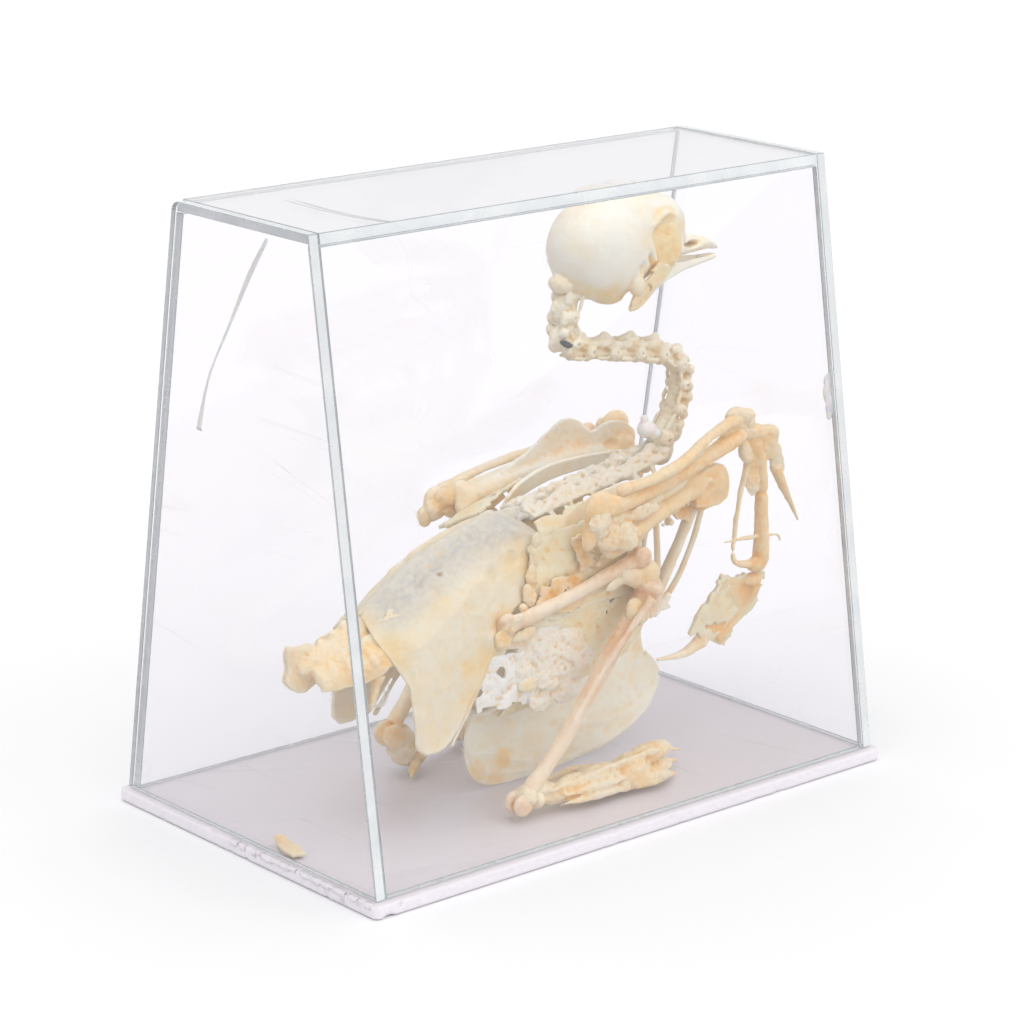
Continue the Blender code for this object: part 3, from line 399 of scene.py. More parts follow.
def skin(bm, rings):
    """A closed skin over rings of points in metres."""
    loops = [[bm.verts.new(p) for p in ring] for ring in rings]
    for a, b in zip(loops, loops[1:]):
        for i in range(len(a)):
            j = (i + 1) % len(a)
            bm.faces.new((a[i], a[j], b[j], b[i]))
    bm.faces.new(reversed(loops[0]))
    bm.faces.new(loops[-1])


def shaft(bm, rows, step=1.2, sides=14, flat=1, up=(0, 0, 1)):
    """A bar through rows of x, y, z, radius, whose upright radius is flat times the other."""
    path = through(rows, step)
    rings = []
    for i, row in enumerate(path):
        before, after = path[max(0, i - 1)], path[min(len(path) - 1, i + 1)]
        frame = turned((after - before).to_3d(), up).to_3x3()
        ring = []
        for k in range(sides):
            turn = 2 * math.pi * k / sides
            off = frame @ Vector((0, math.cos(turn), flat * math.sin(turn)))
            ring.append(at(*(row.to_3d() + off * row[3])))
        rings.append(ring)
    skin(bm, rings)


def grid_of(rows, step):
    """A finer grid of points along and across a coarse one."""
    across = [through(row, step) for row in rows]
    count = min(len(row) for row in across)
    even = []
    for row in rows:
        fine = through(row, DENSE)
        even.append([fine[round(k * (len(fine) - 1) / (count - 1))] for k in range(count)])
    columns = [through([row[k] for row in even], step) for k in range(count)]
    count = min(len(column) for column in columns)
    even = []
    for k in range(len(columns)):
        fine = through(columns[k], DENSE)
        even.append([fine[round(j * (len(fine) - 1) / (count - 1))] for j in range(count)])
    return [list(row) for row in zip(*even)]


def plate(bm, rows, thick, step=2, edge=1):
    """A bone plate through a coarse grid, thinner towards its rim where edge is less than 1."""
    grid = grid_of(rows, step)
    high, wide = len(grid), len(grid[0])
    faces = [[], []]
    for i in range(high):
        lines = [[], []]
        for j in range(wide):
            along = grid[min(i + 1, high - 1)][j] - grid[max(i - 1, 0)][j]
            across = grid[i][min(j + 1, wide - 1)] - grid[i][max(j - 1, 0)]
            normal = along.cross(across).normalized()
            rim = min(i, high - 1 - i, j, wide - 1 - j)
            half = thick / 2 * (edge if rim == 0 else 1)
            for line, side in zip(lines, (-1, 1)):
                line.append(bm.verts.new(at(*(grid[i][j] + normal * half * side))))
        for face, line in zip(faces, lines):
            face.append(line)
    low, top = faces
    for i in range(high - 1):
        for j in range(wide - 1):
            bm.faces.new((low[i][j], low[i][j + 1], low[i + 1][j + 1], low[i + 1][j]))
            bm.faces.new((top[i][j], top[i + 1][j], top[i + 1][j + 1], top[i][j + 1]))
    for j in range(wide - 1):
        bm.faces.new((low[0][j], top[0][j], top[0][j + 1], low[0][j + 1]))
        bm.faces.new((low[-1][j], low[-1][j + 1], top[-1][j + 1], top[-1][j]))
    for i in range(high - 1):
        bm.faces.new((low[i][0], low[i + 1][0], top[i + 1][0], top[i][0]))
        bm.faces.new((low[i][-1], top[i][-1], top[i + 1][-1], low[i + 1][-1]))


def blade(bm, outline, thick, middle=MIDLINE, step=1.5):
    """A flat bone outline of x and z, rounded through its points, drawn out along Y."""
    closed = [(x, 0, z) for x, z in [*outline, outline[0]]]
    path = through(closed, step)[:-1]
    rings = []
    for y in (-thick / 2, thick / 2):
        rings.append([at(p.x, middle + y, p.z) for p in path])
    skin(bm, rings)


def evaluated(obj):
    """The object's mesh as its modifiers leave it, with no modifiers left."""
    graph = bpy.context.evaluated_depsgraph_get()
    mesh = bpy.data.meshes.new_from_object(obj.evaluated_get(graph))
    obj.modifiers.clear()
    old = obj.data
    obj.data = mesh
    mesh.name = obj.name
    bpy.data.meshes.remove(old)
    return obj


def remeshed(obj, size):
    """The object's pieces as one closed skin on a grid."""
    step = obj.modifiers.new("fuse", "REMESH")
    step.mode = "VOXEL"
    step.voxel_size = size * MM
    return evaluated(obj)


LUMPS = bpy.data.textures.new("lumps", "CLOUDS")
LUMPS.noise_scale = 0.0035
LUMPS.noise_depth = 2
SWELLS = bpy.data.textures.new("swells", "CLOUDS")
SWELLS.noise_scale = 0.009
CRUMBS = bpy.data.textures.new("crumbs", "CLOUDS")
CRUMBS.noise_scale = 0.0011
CRUMBS.noise_depth = 3


def roughened(obj, texture, height):
    """Moves the skin in and out by a cloudy pattern, height from lowest to highest."""
    step = obj.modifiers.new("lumps", "DISPLACE")
    step.texture = texture
    step.texture_coords = "LOCAL"
    step.strength = height * MM
    step.mid_level = 0.5
    return evaluated(obj)


def carved(obj, cutter, size):
    """Cuts the cutter's eggs and bars out, and fuses what is left again."""
    other = remeshed(object_from(cutter, "cutter"), size)
    whole = len(obj.data.vertices)
    uncut = obj.data.copy()
    for solver in ("MANIFOLD", "EXACT"):
        step = obj.modifiers.new("cut", "BOOLEAN")
        step.operation = "DIFFERENCE"
        step.object = other
        step.solver = solver
        evaluated(obj)
        if 0.5 * whole < len(obj.data.vertices) != whole:
            break
        obj.data = uncut.copy()
    bpy.data.objects.remove(other, do_unlink=True)
    return remeshed(obj, size)


def numbers(mesh, field, width):
    """A value of every point of the mesh, one row for each point."""
    found = np.empty(len(mesh.vertices) * width)
    mesh.vertices.foreach_get(field, found)
    return found.reshape(-1, width)


def blurred(mesh, place, times, keep=None):
    """Points moved to the mean of their neighbours some times, each move passed through keep."""
    edges = np.empty(len(mesh.edges) * 2, dtype=np.int64)
    mesh.edges.foreach_get("vertices", edges)
    a, b = edges.reshape(-1, 2).T
    count = len(place)
    degree = np.maximum(np.bincount(edges, minlength=count), 1)
    for _ in range(times):
        mean = np.empty_like(place)
        for k in range(3):
            near = np.bincount(a, place[b, k], count) + np.bincount(b, place[a, k], count)
            mean[:, k] = near / degree
        place = mean if keep is None else keep(place, mean)
    return place


def settled(obj, rounds):
    """Fills the corners between pieces, as dried gristle does, and leaves their backs alone."""
    mesh = obj.data
    for _ in range(rounds):
        normal = numbers(mesh, "normal", 3)

        def outward(place, mean):
            rise = np.einsum("ij,ij->i", mean - place, normal)
            return place + normal * np.clip(rise, 0, None)[:, None]

        place = blurred(mesh, numbers(mesh, "co", 3), GRISTLE_PASSES, outward)
        mesh.vertices.foreach_set("co", place.ravel())
        mesh.update()
    return obj


def marked(obj, stains=(), pits=()):
    """Sinks the pits, then writes how hollow, stained and grey each point is."""
    mesh = obj.data
    place = numbers(mesh, "co", 3)
    normal = numbers(mesh, "normal", 3)
    count = len(place)
    grey = np.zeros(count)
    # each pit is sunk into the bone and greyed: painted shade inside the dent; a pit with no depth is the
    # bone's own grey
    for centre, radius, depth, dim in pits:
        away = np.linalg.norm(place - np.array(at(*centre)), axis=1) / (radius * MM)
        near = np.clip(1 - away**2, 0, 1) ** 2
        place -= normal * (near * depth * MM)[:, None]
        grey = np.maximum(grey, near * dim)
    mesh.vertices.foreach_set("co", place.ravel())
    mesh.update()
    smooth = blurred(mesh, place.copy(), BLUR_PASSES)
    hollow = np.einsum("ij,ij->i", smooth - place, normal) / (HOLLOW_UNIT * MM)
    stained = np.zeros(count)
    for centre, radius, strength in stains:
        away = np.linalg.norm(place - np.array(at(*centre)), axis=1) / (radius * MM)
        stained = np.maximum(stained, np.clip(1.5 - 1.5 * away, 0, 1) * strength)
    for title, values in (("hollow", hollow), ("stained", stained), ("grey", grey)):
        layer = mesh.attributes.new(title, "FLOAT", "POINT")
        layer.data.foreach_set("value", np.clip(values, -HOLLOW_LIMIT, HOLLOW_LIMIT).astype(np.float32))
    return obj


def bone_group():
    """The colour, gloss and surface of dry bone that has kept a little grease."""
    colours = (("Pale", BONE_PALE), ("Honey", BONE_HONEY), ("Pores_and_shade", BONE_PORES_AND_SHADE))
    amounts = (("Warmth", 0.3), ("Grain", 1), ("Greyness", 0))
    inputs = [(title, "NodeSocketColor", colour) for title, colour in colours]
    inputs += [(title, "NodeSocketFloat", amount) for title, amount in amounts]
    outputs = [("Colour", "NodeSocketColor"), ("Roughness", "NodeSocketFloat")]
    outputs.append(("Height", "NodeSocketFloat"))
    group, given, made = new_group("dry_bone", inputs, outputs)
    place = wire(group, "ShaderNodeTexCoord").outputs["Object"]
    in_mm = {0: place, "Scale": 1 / MM}
    place = wire(group, "ShaderNodeVectorMath", in_mm, operation="SCALE").outputs[0]
    blotch = cloudy(group, place, 0.16, 2, 0.6)
    mottle = cloudy(group, place, 0.7, 3, 0.62)
    grain = cloudy(group, place, 4.5, 1.5, 0.6)
    pores = wire(group, "ShaderNodeTexVoronoi", {"Vector": place, "Scale": 1.5, "Randomness": 1})
    pore = mapped(group, pores.outputs["Distance"], 0.2, 0.07)
    pore = worked(group, "MULTIPLY", pore, mapped(group, mottle, 0.48, 0.62))
    hollow, stained, grey = (
        wire(group, "ShaderNodeAttribute", attribute_name=title).outputs["Fac"]
        for title in ("hollow", "stained", "grey")
    )
    uneven = mapped(group, mottle, 0.3, 0.7, 0.55, 1.25)
    warm = worked(group, "MULTIPLY", mapped(group, blotch, 0.38, 0.68), given["Warmth"])
    warm = worked(group, "ADD", warm, worked(group, "MULTIPLY", stained, uneven))
    # hollows also turn towards the darker honey by their shape alone: painted shade
    warm = worked(group, "ADD", warm, mapped(group, hollow, 0.1, 1.2, 0, 0.85), clamp=True)
    colour = tinted(group, warm, given["Pale"], given["Honey"])
    # ridges that stand out turn paler: painted highlight
    colour = tinted(group, mapped(group, hollow, -0.3, -1.4, 0, 0.35), colour, BONE_RIDGE_HIGHLIGHT)
    greyed = worked(group, "MULTIPLY", uneven, given["Greyness"], clamp=True)
    # grey from the pits: painted shade in pits and holes, and the bone's own grey where a pit is not sunk
    greyed = worked(group, "MAXIMUM", greyed, worked(group, "MULTIPLY", uneven, grey), clamp=True)
    colour = tinted(group, greyed, colour, BONE_GREY)
    # deep hollows darken towards this colour: painted shade in recesses; the pores add their own dark dots
    deep = mapped(group, hollow, 0.9, 2.2, 0, 0.7)
    deep = worked(group, "MULTIPLY_ADD", pore, 0.35, deep, clamp=True)
    group.links.new(tinted(group, deep, colour, given["Pores_and_shade"]), made["Colour"])
    group.links.new(mapped(group, mottle, 0.3, 0.7, 0.36, 0.62), made["Roughness"])
    high = worked(group, "MULTIPLY_ADD", grain, 0.35, mottle)
    high = worked(group, "MULTIPLY", high, given["Grain"])
    group.links.new(worked(group, "SUBTRACT", high, pore), made["Height"])
    return group


DRY_BONE = bone_group()


def bone_finish(name, pale, honey, warmth, greyness=0, grain=1, glow=0.3):
    """A bone material: its own colours in the shared bone effect, with light let into it."""
    material, tree, shader = new_material(name)
    effect = wire(tree, "ShaderNodeGroup", node_tree=DRY_BONE)
    values = {"Pale": pale, "Honey": honey, "Warmth": warmth, "Greyness": greyness, "Grain": grain}
    for title, value in values.items():
        effect.inputs[title].default_value = value
    finished(tree, shader, *effect.outputs, 0.45)
    shader.inputs["Subsurface Weight"].default_value = glow
    shader.inputs["Subsurface Radius"].default_value = (0.9, 0.7, 0.5)
    shader.inputs["Subsurface Scale"].default_value = 0.0012
    shader.inputs["Specular IOR Level"].default_value = 0.45
    return material


def fused(name, bm, size=FINE, smooth=4, lumps=0.14, crumbs=0, cutter=None, fill=4):
    """One organic form from pieces that overlap."""
    obj = settled(remeshed(object_from(bm, name), size), fill)
    if cutter is not None:
        carved(obj, cutter, size)
    if smooth:
        step = obj.modifiers.new("soften", "SMOOTH")
        step.factor = 0.5
        step.iterations = smooth
        evaluated(obj)
    roughened(obj, SWELLS, SWELL_SHARE * lumps)
    if lumps:
        roughened(obj, LUMPS, lumps)
    if crumbs:
        roughened(obj, CRUMBS, crumbs)
    return obj


def set_bone(obj, finish, node, stains=(), pits=()):
    """Marks and colours a bone, hides the solid it stands for, if any, and fixes it to the root."""
    marked(obj, stains, pits)
    shaded(obj, finish)
    if node:
        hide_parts(node)
    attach(obj, "root")
    return obj


def membrane(name, rows, thick, eaten, finish, seed=0, step=0.4, stains=(), folds=0.6):
    """A thin sheet of dried skin whose rim and weak places are gone, as eaten grows smaller."""
    grid = grid_of(rows, step)
    high, wide = len(grid) - 1, len(grid[0]) - 1
    bm = bmesh.new()
    points = [[bm.verts.new(at(*p)) for p in line] for line in grid]
    for i in range(high):
        for j in range(wide):
            rim = min(i, high - i, j, wide - j) * step
            place = grid[i][j] + Vector((seed, 3 * seed, 0))
            weak = noise.noise(place * WEAK_SPOTS) + 0.35 * noise.noise(place * FRAYS)
            if weak + max(0, RIM - rim) * 0.45 < eaten:
                bm.faces.new((points[i][j], points[i + 1][j], points[i + 1][j + 1], points[i][j + 1]))
    loose = [v for v in bm.verts if not v.link_faces]
    bmesh.ops.delete(bm, geom=loose, context="VERTS")
    obj = as_built(bm, name)
    rounder = obj.modifiers.new("soften", "SMOOTH")
    rounder.iterations = 3
    body = obj.modifiers.new("body", "SOLIDIFY")
    body.thickness = thick * MM
    body.offset = 0
    evaluated(obj)
    roughened(obj, LUMPS, folds)
    roughened(obj, CRUMBS, 0.3)
    return set_bone(obj, finish, None, stains)


STERNUM_LINE = [
    (33, 34.5, 10.5, 3), (26, 32.6, 13, 6), (16, 29.6, 13.4, 8), (5, 26.4, 12.6, 8.5),
    (-5, 23.4, 11.8, 7.5), (-13, 21.2, 10.4, 5), (-18.5, 19.6, 5, 1.5),
]
KEEL_EDGE = [
    (33.4, 33.6), (33.2, 28.6), (32.6, 25.4), (34, 22.8), (36.6, 20.8), (39.2, 18.4), (39.6, 15.4),
    (38.4, 12.2), (35, 8.4), (30, 5.2), (24.5, 3.2), (17, 1.7), (4.3, 0.6), (-6, 0.5), (-13.5, 1.2),
    (-18.4, 4), (-20.6, 8.6), (-20.8, 13.4), (-19.4, 18), (-17, 20.2),
]
KEEL_BACK = [(-5, 23.6), (5, 26.6), (16, 29.8), (26, 32.8)]
CARTILAGE_LINE = [(-18.6, 19.6), (-10, 17.6), (3.2, 14.3), (12, 11.2), (19, 9.2), (27, 9.2), (34, 11)]
KEEL_FOLDS = [
    [(-17, 6), (-10, 3.2), (-2, 2.4)],
    [(-19, 10), (-12, 8.4), (-4, 5), (4, 3.4)],
    [(20, 22), (27, 17), (33, 16)],
    [(30, 27), (29, 18), (32, 10)],
]
BONE_IVORY = (0.97, 0.92, 0.79, 1)


def sternum():
    """The dish, the keel with its folds and its cartilage rim, and the side bars."""
    bm = bmesh.new()
    rows = []
    for x, z, half, rise in STERNUM_LINE:
        shares = (-1, -0.66, -0.33, 0, 0.33, 0.66, 1)
        rows.append([(x, MIDLINE + half * u, z + rise * u * u) for u in shares])
    plate(bm, rows, 1)
    blade(bm, [*KEEL_EDGE, *KEEL_BACK], 0.95)
    root = [(-18, 19.2), (0, 24.4), (20, 30.2), (32, 33.6)]
    shaft(bm, [(x, MIDLINE, z, 1.3) for x, z in root])
    rim = [(35, 22.8), (38.8, 18.4), (39, 14.8), (34.8, 8.8), (24.5, 4.2), (10, 2.2)]
    shaft(bm, [(x, MIDLINE, z, 0.8) for x, z in rim])
    shaft(bm, [(x, MIDLINE, z, 0.75) for x, z in CARTILAGE_LINE], 1)
    for fold in KEEL_FOLDS:
        for side in (-1, 1):
            shaft(bm, [(x, MIDLINE + side * 0.25, z, 0.5) for x, z in fold], 1, 10)
    shaft(bm, [(33.2, MIDLINE, 32, 0.9), (33, MIDLINE, 27, 0.8), (34, MIDLINE, 23, 0.7)])
    for side in (-1, 1):
        reach = MIDLINE + side * 13
        bar = [(14, reach, 37, 1), (2, reach, 33.5, 0.9), (-12, reach, 29.5, 0.9)]
        shaft(bm, bar)
        egg(bm, (-13, reach, 29), (3.2, 0.8, 2))
        horn = [(26, MIDLINE + side * 12, 37, 1.2), (30.5, MIDLINE + side * 13, 41.5, 0.8)]
        shaft(bm, horn)
    obj = fused("sternum_and_keel", bm, 0.3, smooth=3, lumps=0.3)
    stains = [
        ((-9.4, MIDLINE, 7), 3.4, 0.8),
        ((-17.6, MIDLINE, 5), 4, 0.8),
        ((-12, MIDLINE, 2), 4, 0.6),
        ((32.4, MIDLINE, 25), 4, 0.4),
        ((14, MIDLINE - 13, 37), 7, 0.6),
        ((-12, MIDLINE - 13, 29.5), 6, 0.5),
    ]
    return obj, stains


keel_bone = bone_finish("breast_bone", BONE_IVORY, (0.96, 0.69, 0.34, 1), warmth=0.3, glow=0.4)
breastbone, breast_stains = sternum()
set_bone(breastbone, keel_bone, "sternum", breast_stains)

# The back and the ribs
# The fused bones of the back with six ribs to each side, the middle four with a small hook.
# Each side is one piece, glued along the middle, and its ribs come down to the breastbone.

BACK = [(36.4, 71.6), (22, 69), (6, 66.4), (-5, 64.6)]
RIB_ROOTS = (32, 26, 19.5, 13, 6.5, 0.5)
RIB_REACH = (8.5, 11.5, 13, 13.6, 13.4, 12.4)
RIB_DROP = (12, 29, 33, 34, 33, 30)
HALF_GAP = 0.15


def back_height(x):
    """The height of the back's middle at a place along it."""
    for (x1, z1), (x0, z0) in zip(BACK, BACK[1:]):
        if x >= x0:
            break
    return z0 + (z1 - z0) * (x - x0) / (x1 - x0)


def rib_line(index, side):
    """A rib from the back out, round and down, then forward to the breastbone."""
    x = RIB_ROOTS[index]
    z = back_height(x)
    reach = RIB_REACH[index]
    drop = RIB_DROP[index]
    line = [
        (x, MIDLINE + side * 2, z - 0.4, 0.8),
        (x - 0.6, MIDLINE + side * 0.62 * reach, z - 0.06 * drop, 0.75),
        (x - 1.6, MIDLINE + side * 0.96 * reach, z - 0.32 * drop, 0.7),
        (x - 2.6, MIDLINE + side * reach, z - 0.64 * drop, 0.7),
    ]
    if index:
        line.append((x + 1, MIDLINE + side * 0.98 * reach, z - 0.88 * drop, 0.65))
        line.append((x + 3.4, MIDLINE + side * 0.95 * reach, z - drop, 0.6))
    return line


def rib_cage(name, side):
    """Half of the lumpy back with its six ribs, and the pits of its surface."""
    bm = bmesh.new()
    spools = [(x, MIDLINE + side * (1.6 + HALF_GAP), z - 0.3, 1.6) for x, z in BACK]
    shaft(bm, spools, 1.5)
    band = [(x, MIDLINE + side * (2.9 + HALF_GAP), z + 0.1, 2.5) for x, z in BACK]
    shaft(bm, band, 1.5, 16, 0.46)
    pits = []
    chance = random.Random(31 if side > 0 else 17)
    for k in range(30):
        x = 36.5 - 1.4 * k + chance.uniform(-0.8, 0.8)
        out = chance.uniform(0.8, 4.8)
        lift = 1.9 - 0.38 * out + chance.uniform(-0.3, 0.5)
        half = [chance.uniform(low, high) for low, high in ((1.1, 2.1), (0.7, 1.3), (0.8, 1.3))]
        egg(bm, (x, MIDLINE + side * out, back_height(x) + lift), half, (1, chance.uniform(-0.6, 0.6), 0.2))
        if k % 2:
            x += chance.uniform(-1.5, 1.5)
            out = chance.uniform(1.2, 4.4)
            middle = (x, MIDLINE + side * out, back_height(x) + 2.2 - 0.4 * out)
            pits.append((middle, chance.uniform(0.8, 1.5), 0.6, 0.55))
    for index in range(len(RIB_ROOTS)):
        line = rib_line(index, side)
        shaft(bm, line, 1, 12, 0.8)
        if 0 < index < 5:
            root = Vector(line[2]).lerp(Vector(line[3]), 0.3)
            tip = (line[2][0] - 3, line[2][1] + side * 0.3, line[2][2] + 1.2, 0.4)
            shaft(bm, [(*root[:3], 0.6), tip], 1, 10)
            egg(bm, line[3][:3], (0.95, 0.9, 1.1))
    return fused(name, bm, 0.25, smooth=3, lumps=0.6, crumbs=0.45, fill=7), pits


spine_bone = bone_finish(
    "spine_bone", (0.94, 0.87, 0.73, 1), (0.92, 0.7, 0.38, 1), warmth=0.35, greyness=0.16, grain=2
)
for name, side in (("rib_cage_right", -1), ("rib_cage_left", 1)):
    ribs, rib_pits = rib_cage("ribs_and_back_" + name.rsplit("_", 1)[1], side)
    rib_stains = [((x - 2, MIDLINE + side * 12, 42), 9, 0.7) for x in RIB_ROOTS[1:]]
    set_bone(ribs, spine_bone, name, rib_stains, rib_pits)

dried_muscle = bone_finish(
    "dried_muscle", (0.95, 0.84, 0.58, 1), (0.94, 0.64, 0.28, 1), warmth=0.6, grain=2
)
for name, side in (("muscle_between_ribs_right", -1), ("muscle_between_ribs_left", 1)):
    ribs_apart = [[Vector(p[:3]) for p in rib_line(index, side)[1:]] for index in range(1, 6)]
    inside = [[(p.x, p.y - side * 0.5, p.z) for p in line] for line in ribs_apart]
    membrane(name, inside, 0.5, 0.42, dried_muscle, seed=4 + side, step=0.5)

# The hips
# The broad shield of the pelvis with the fused loins along its middle. It is thin, pale bone,
# glued to the end of the back, and each side has the socket of a thigh bone.

PELVIS_ROWS = [
    [(-5.2, -14.6, 61.6), (-4.8, -15.8, 60), (-4.6, -16.8, 58), (-5.4, -17.4, 55.8), (-6.4, -17.6, 54)],
    [
        (-10.5, -10.6, 65.4), (-10.5, -14, 63.2), (-10.5, -16.8, 58.6), (-10.5, -18.2, 53.4),
        (-10.8, -18.6, 49.8),
    ],
    [
        (-17.5, -9.4, 64.2), (-17.5, -13.2, 62.4), (-17.5, -16.8, 57.2), (-17.5, -18.6, 50.8),
        (-17.5, -19.2, 46.4),
    ],
    [(-24, -8.6, 62.6), (-24, -13.4, 61), (-24, -17.6, 55.6), (-24, -19.8, 48), (-24, -20.2, 38)],
    [(-31, -8.4, 60.4), (-31, -14, 58.4), (-31, -18.6, 52.2), (-31, -20.8, 42.6), (-31, -21.2, 29)],
    [(-38, -8.4, 57.6), (-38, -13.8, 55.2), (-38, -18.8, 48.8), (-38, -21.2, 38), (-38, -21.8, 20.6)],
    [(-44, -8.4, 54), (-44, -13.2, 51.2), (-44, -18.4, 45.4), (-44, -21, 35), (-44, -21.8, 19.8)],
    [
        (-51.2, -8.6, 49.4), (-51.8, -12.4, 46.8), (-49.8, -16.2, 42), (-46.8, -20, 35.4),
        (-46, -21.4, 21.6),
    ],
]
LOIN_HOLES = ((-18, 11.6), (-22, 12), (-26, 12.2), (-30, 12.2), (-34, 12), (-38, 11.6), (-42, 11.2))


def pelvis():
    """The shield with its sockets, brims and ridges, and the loins along its middle."""
    bm = bmesh.new()
    for side_of in (list, opposite):
        plate(bm, [side_of(row) for row in PELVIS_ROWS], 1.1, 1.6)
        socket, spur = side_of([(-20.4, -17.4, 44.4), (-23, -19.6, 47.6)])
        egg(bm, socket, (3.4, 2.6, 3.4))
        egg(bm, spur, (3, 0.9, 1.6))
        pubis = [(-21, -18.6, 41, 0.8), (-27, -20.6, 31.6, 0.6), (-36, -21.4, 19.6, 0.5)]
        shaft(bm, side_of(pubis))
        ridge = [(-5.6, -16.9, 57, 0.7), (-8, -15.6, 61.4, 0.8), (-14, -13.2, 63, 0.9)]
        ridge += [(-22, -13, 61.8, 0.8), (-30, -13.6, 59, 0.7), (-38, -14, 55.4, 0.6)]
        shaft(bm, side_of(ridge), 1.2)
        brim = [(-6.6, -17.7, 54, 0.7), (-10.8, -18.7, 49.8, 0.8), (-17.5, -19.2, 46.2, 0.9)]
        brim += [(-24, -20.3, 38, 0.8), (-31, -21.3, 29, 0.75)]
        brim += [(-38, -21.9, 20.8, 0.75), (-44, -21.9, 19.9, 0.75)]
        shaft(bm, side_of(brim), 1.2)
        for k in range(6):
            x = -8 - 2.5 * k
            drop = 0.25 * k
            fold = [(x, -13.4, 63 - drop, 0.5), (x + 0.8, -15.8, 60 - drop, 0.55), (x + 1, -17, 57.2, 0.4)]
            shaft(bm, side_of(fold), 0.8, 10)
        low_ridge = [(-37, -21.2, 34.6, 0.6), (-32.7, -20.9, 36.4, 0.7), (-26, -20.4, 37.4, 0.7)]
        shaft(bm, side_of(low_ridge), 1)
        for centre, half in (((-24, -20, 41), (3.6, 1.6, 3.4)), ((-21, -19.4, 38), (2.6, 1.4, 2.4))):
            egg(bm, side_of([centre])[0], half)
    trunk = [(-6, 63.6, 2.4), (-15, 62.2, 3), (-28, 59, 3.2), (-40, 54, 2.8), (-49.6, 48.2, 2)]
    shaft(bm, [(x, MIDLINE, z, r) for x, z, r in trunk])
    crest = [(-6, 65.6), (-16, 64.6), (-26, 62.2), (-36, 58.4)]
    shaft(bm, [(x, MIDLINE, z, 0.9) for x, z in crest])
    chance = random.Random(8)
    for _ in range(34):
        x = chance.uniform(-20, -4.5)
        out = chance.uniform(-5.5, 5.5)
        rise = float(np.interp(x, (-20, -10, -4.5), (63.6, 65.2, 65.6))) - 0.3 * abs(out)
        half = [chance.uniform(low, high) for low, high in ((1, 1.9), (0.6, 1.1), (0.6, 1))]
        egg(bm, (x, MIDLINE + out, rise), half, (1, chance.uniform(-0.6, 0.6), 0.2))
    obj = fused("pelvis_shield", bm, 0.32, smooth=7, lumps=0.45, crumbs=0.16, fill=6)
    pits = []
    for x, reach in LOIN_HOLES:
        z = np.interp(x, (-44, -38, -31, -24, -17.5), (53.2, 56.8, 59.6, 62, 63.6))
        for y in (MIDLINE - (12.6 - reach) - 2.4, MIDLINE + (12.6 - reach) + 2.4):
            pits.append(((x, y, float(z)), 1, 0.2, 0.5))
    for side_of in (list, opposite):
        for centre in side_of([(-33.5, -13, 58.4), (-15, -17, 57.6), (-21, -17.6, 56), (-12, -15.6, 61)]):
            pits.append((centre, 2.6, 0.4, 0.3))
        pits.append((side_of([(-33.5, -14.6, 57.4)])[0], 0.9, 1.2, 1))
    return obj, pits


PELVIS_PALE = (0.86, 0.785, 0.605, 1)
pelvis_bone = bone_finish(
    "pelvis_bone", PELVIS_PALE, (0.89, 0.68, 0.35, 1), warmth=0.45, greyness=0.03, grain=0.8, glow=0.35
)
hips, hip_pits = pelvis()
hip_stains = [
    ((-31, -21, 36.6), 3.6, 0.9),
    ((-12, -17, 58), 8, 0.5),
    ((-49, -15, 42), 7, 1),
    ((-52, -9, 47), 6, 0.9),
    ((-24.9, -20, 36.8), 6, 0.9),
    ((-30, -21, 29), 6, 0.7),
    ((-7.3, -17.4, 50), 6, 0.6),
    ((-20.4, -19.4, 44.4), 5, 0.8),
]
SADDLE_LINE = ((-46, 52.4), (-38, 56.4), (-30, 59.6), (-22, 62.6), (-14, 64.4), (-4, 65.6))
GREY_SADDLE = []
for x in range(-46, -3, 2):
    z = float(np.interp(x, *zip(*SADDLE_LINE)))
    GREY_SADDLE.append(((x, MIDLINE - 4, z), 9.4, 0, 0.85))
set_bone(hips, pelvis_bone, "pelvis", hip_stains, [*hip_pits, *GREY_SADDLE])

# The tail
# Four loose tail bones and the upright plough of the last one, still joined by dried skin,
# so they read as one stained lump. They are glued to the end of the pelvis.

TAIL = [(-53, 45), (-56.2, 43.4), (-59.4, 42.2), (-62.4, 41.4)]


def tail():
    """The tail bones in their skirt of dried skin, and the plough at the end."""
    bm = bmesh.new()
    line = [(-49, MIDLINE, 47.2, 2.8), *((x, MIDLINE, z, 3) for x, z in TAIL)]
    line.append((-66.4, MIDLINE, 40.6, 2))
    shaft(bm, line)
    for x, z in TAIL:
        egg(bm, (x, MIDLINE, z + 2), (1.6, 1.3, 2.4))
    for side in (-1, 1):
        first = ((-49, 1, 46.4), (-49.4, 5.4, 44), (-48.6, 8.6, 40))
        skirt = [[(x, MIDLINE + side * y, z) for x, y, z in first]]
        for index, (x, z) in enumerate(TAIL):
            reach = 7.6 - 0.9 * index
            row = [(x, MIDLINE + side, z), (x - 0.4, MIDLINE + side * reach, z - 3)]
            row.append((x - 0.6, MIDLINE + side * (reach + 0.6), z - 7 + 0.6 * index))
            skirt.append(row)
            shaft(bm, [(*p, r) for p, r in zip(row, (1.7, 1.4, 0.9))])
        plate(bm, skirt, 2, 1.2)
    spike = [(-51.8, -15.6, 38, 1.5), (-52.6, -15.4, 34, 1), (-53.4, -15, 30.2, 0.4)]
    shaft(bm, spike)
    plough = [(-61.6, 44.8), (-62.6, 46.2), (-66, 45.6), (-68.6, 46.4), (-69.4, 43.6), (-68.8, 41)]
    plough += [(-69.6, 38.6), (-66, 35.4), (-62.6, 35.8), (-60.6, 38.4)]
    blade(bm, plough, 1.8)
    obj = fused("tail_and_skin", bm, 0.26, smooth=3, lumps=0.5, crumbs=0.4, fill=9)
    pits = [((x + 1.6, MIDLINE - 5 + 0.4 * k, z - 2.4), 1.3, 0.5, 0.25) for k, (x, z) in enumerate(TAIL)]
    return obj, pits


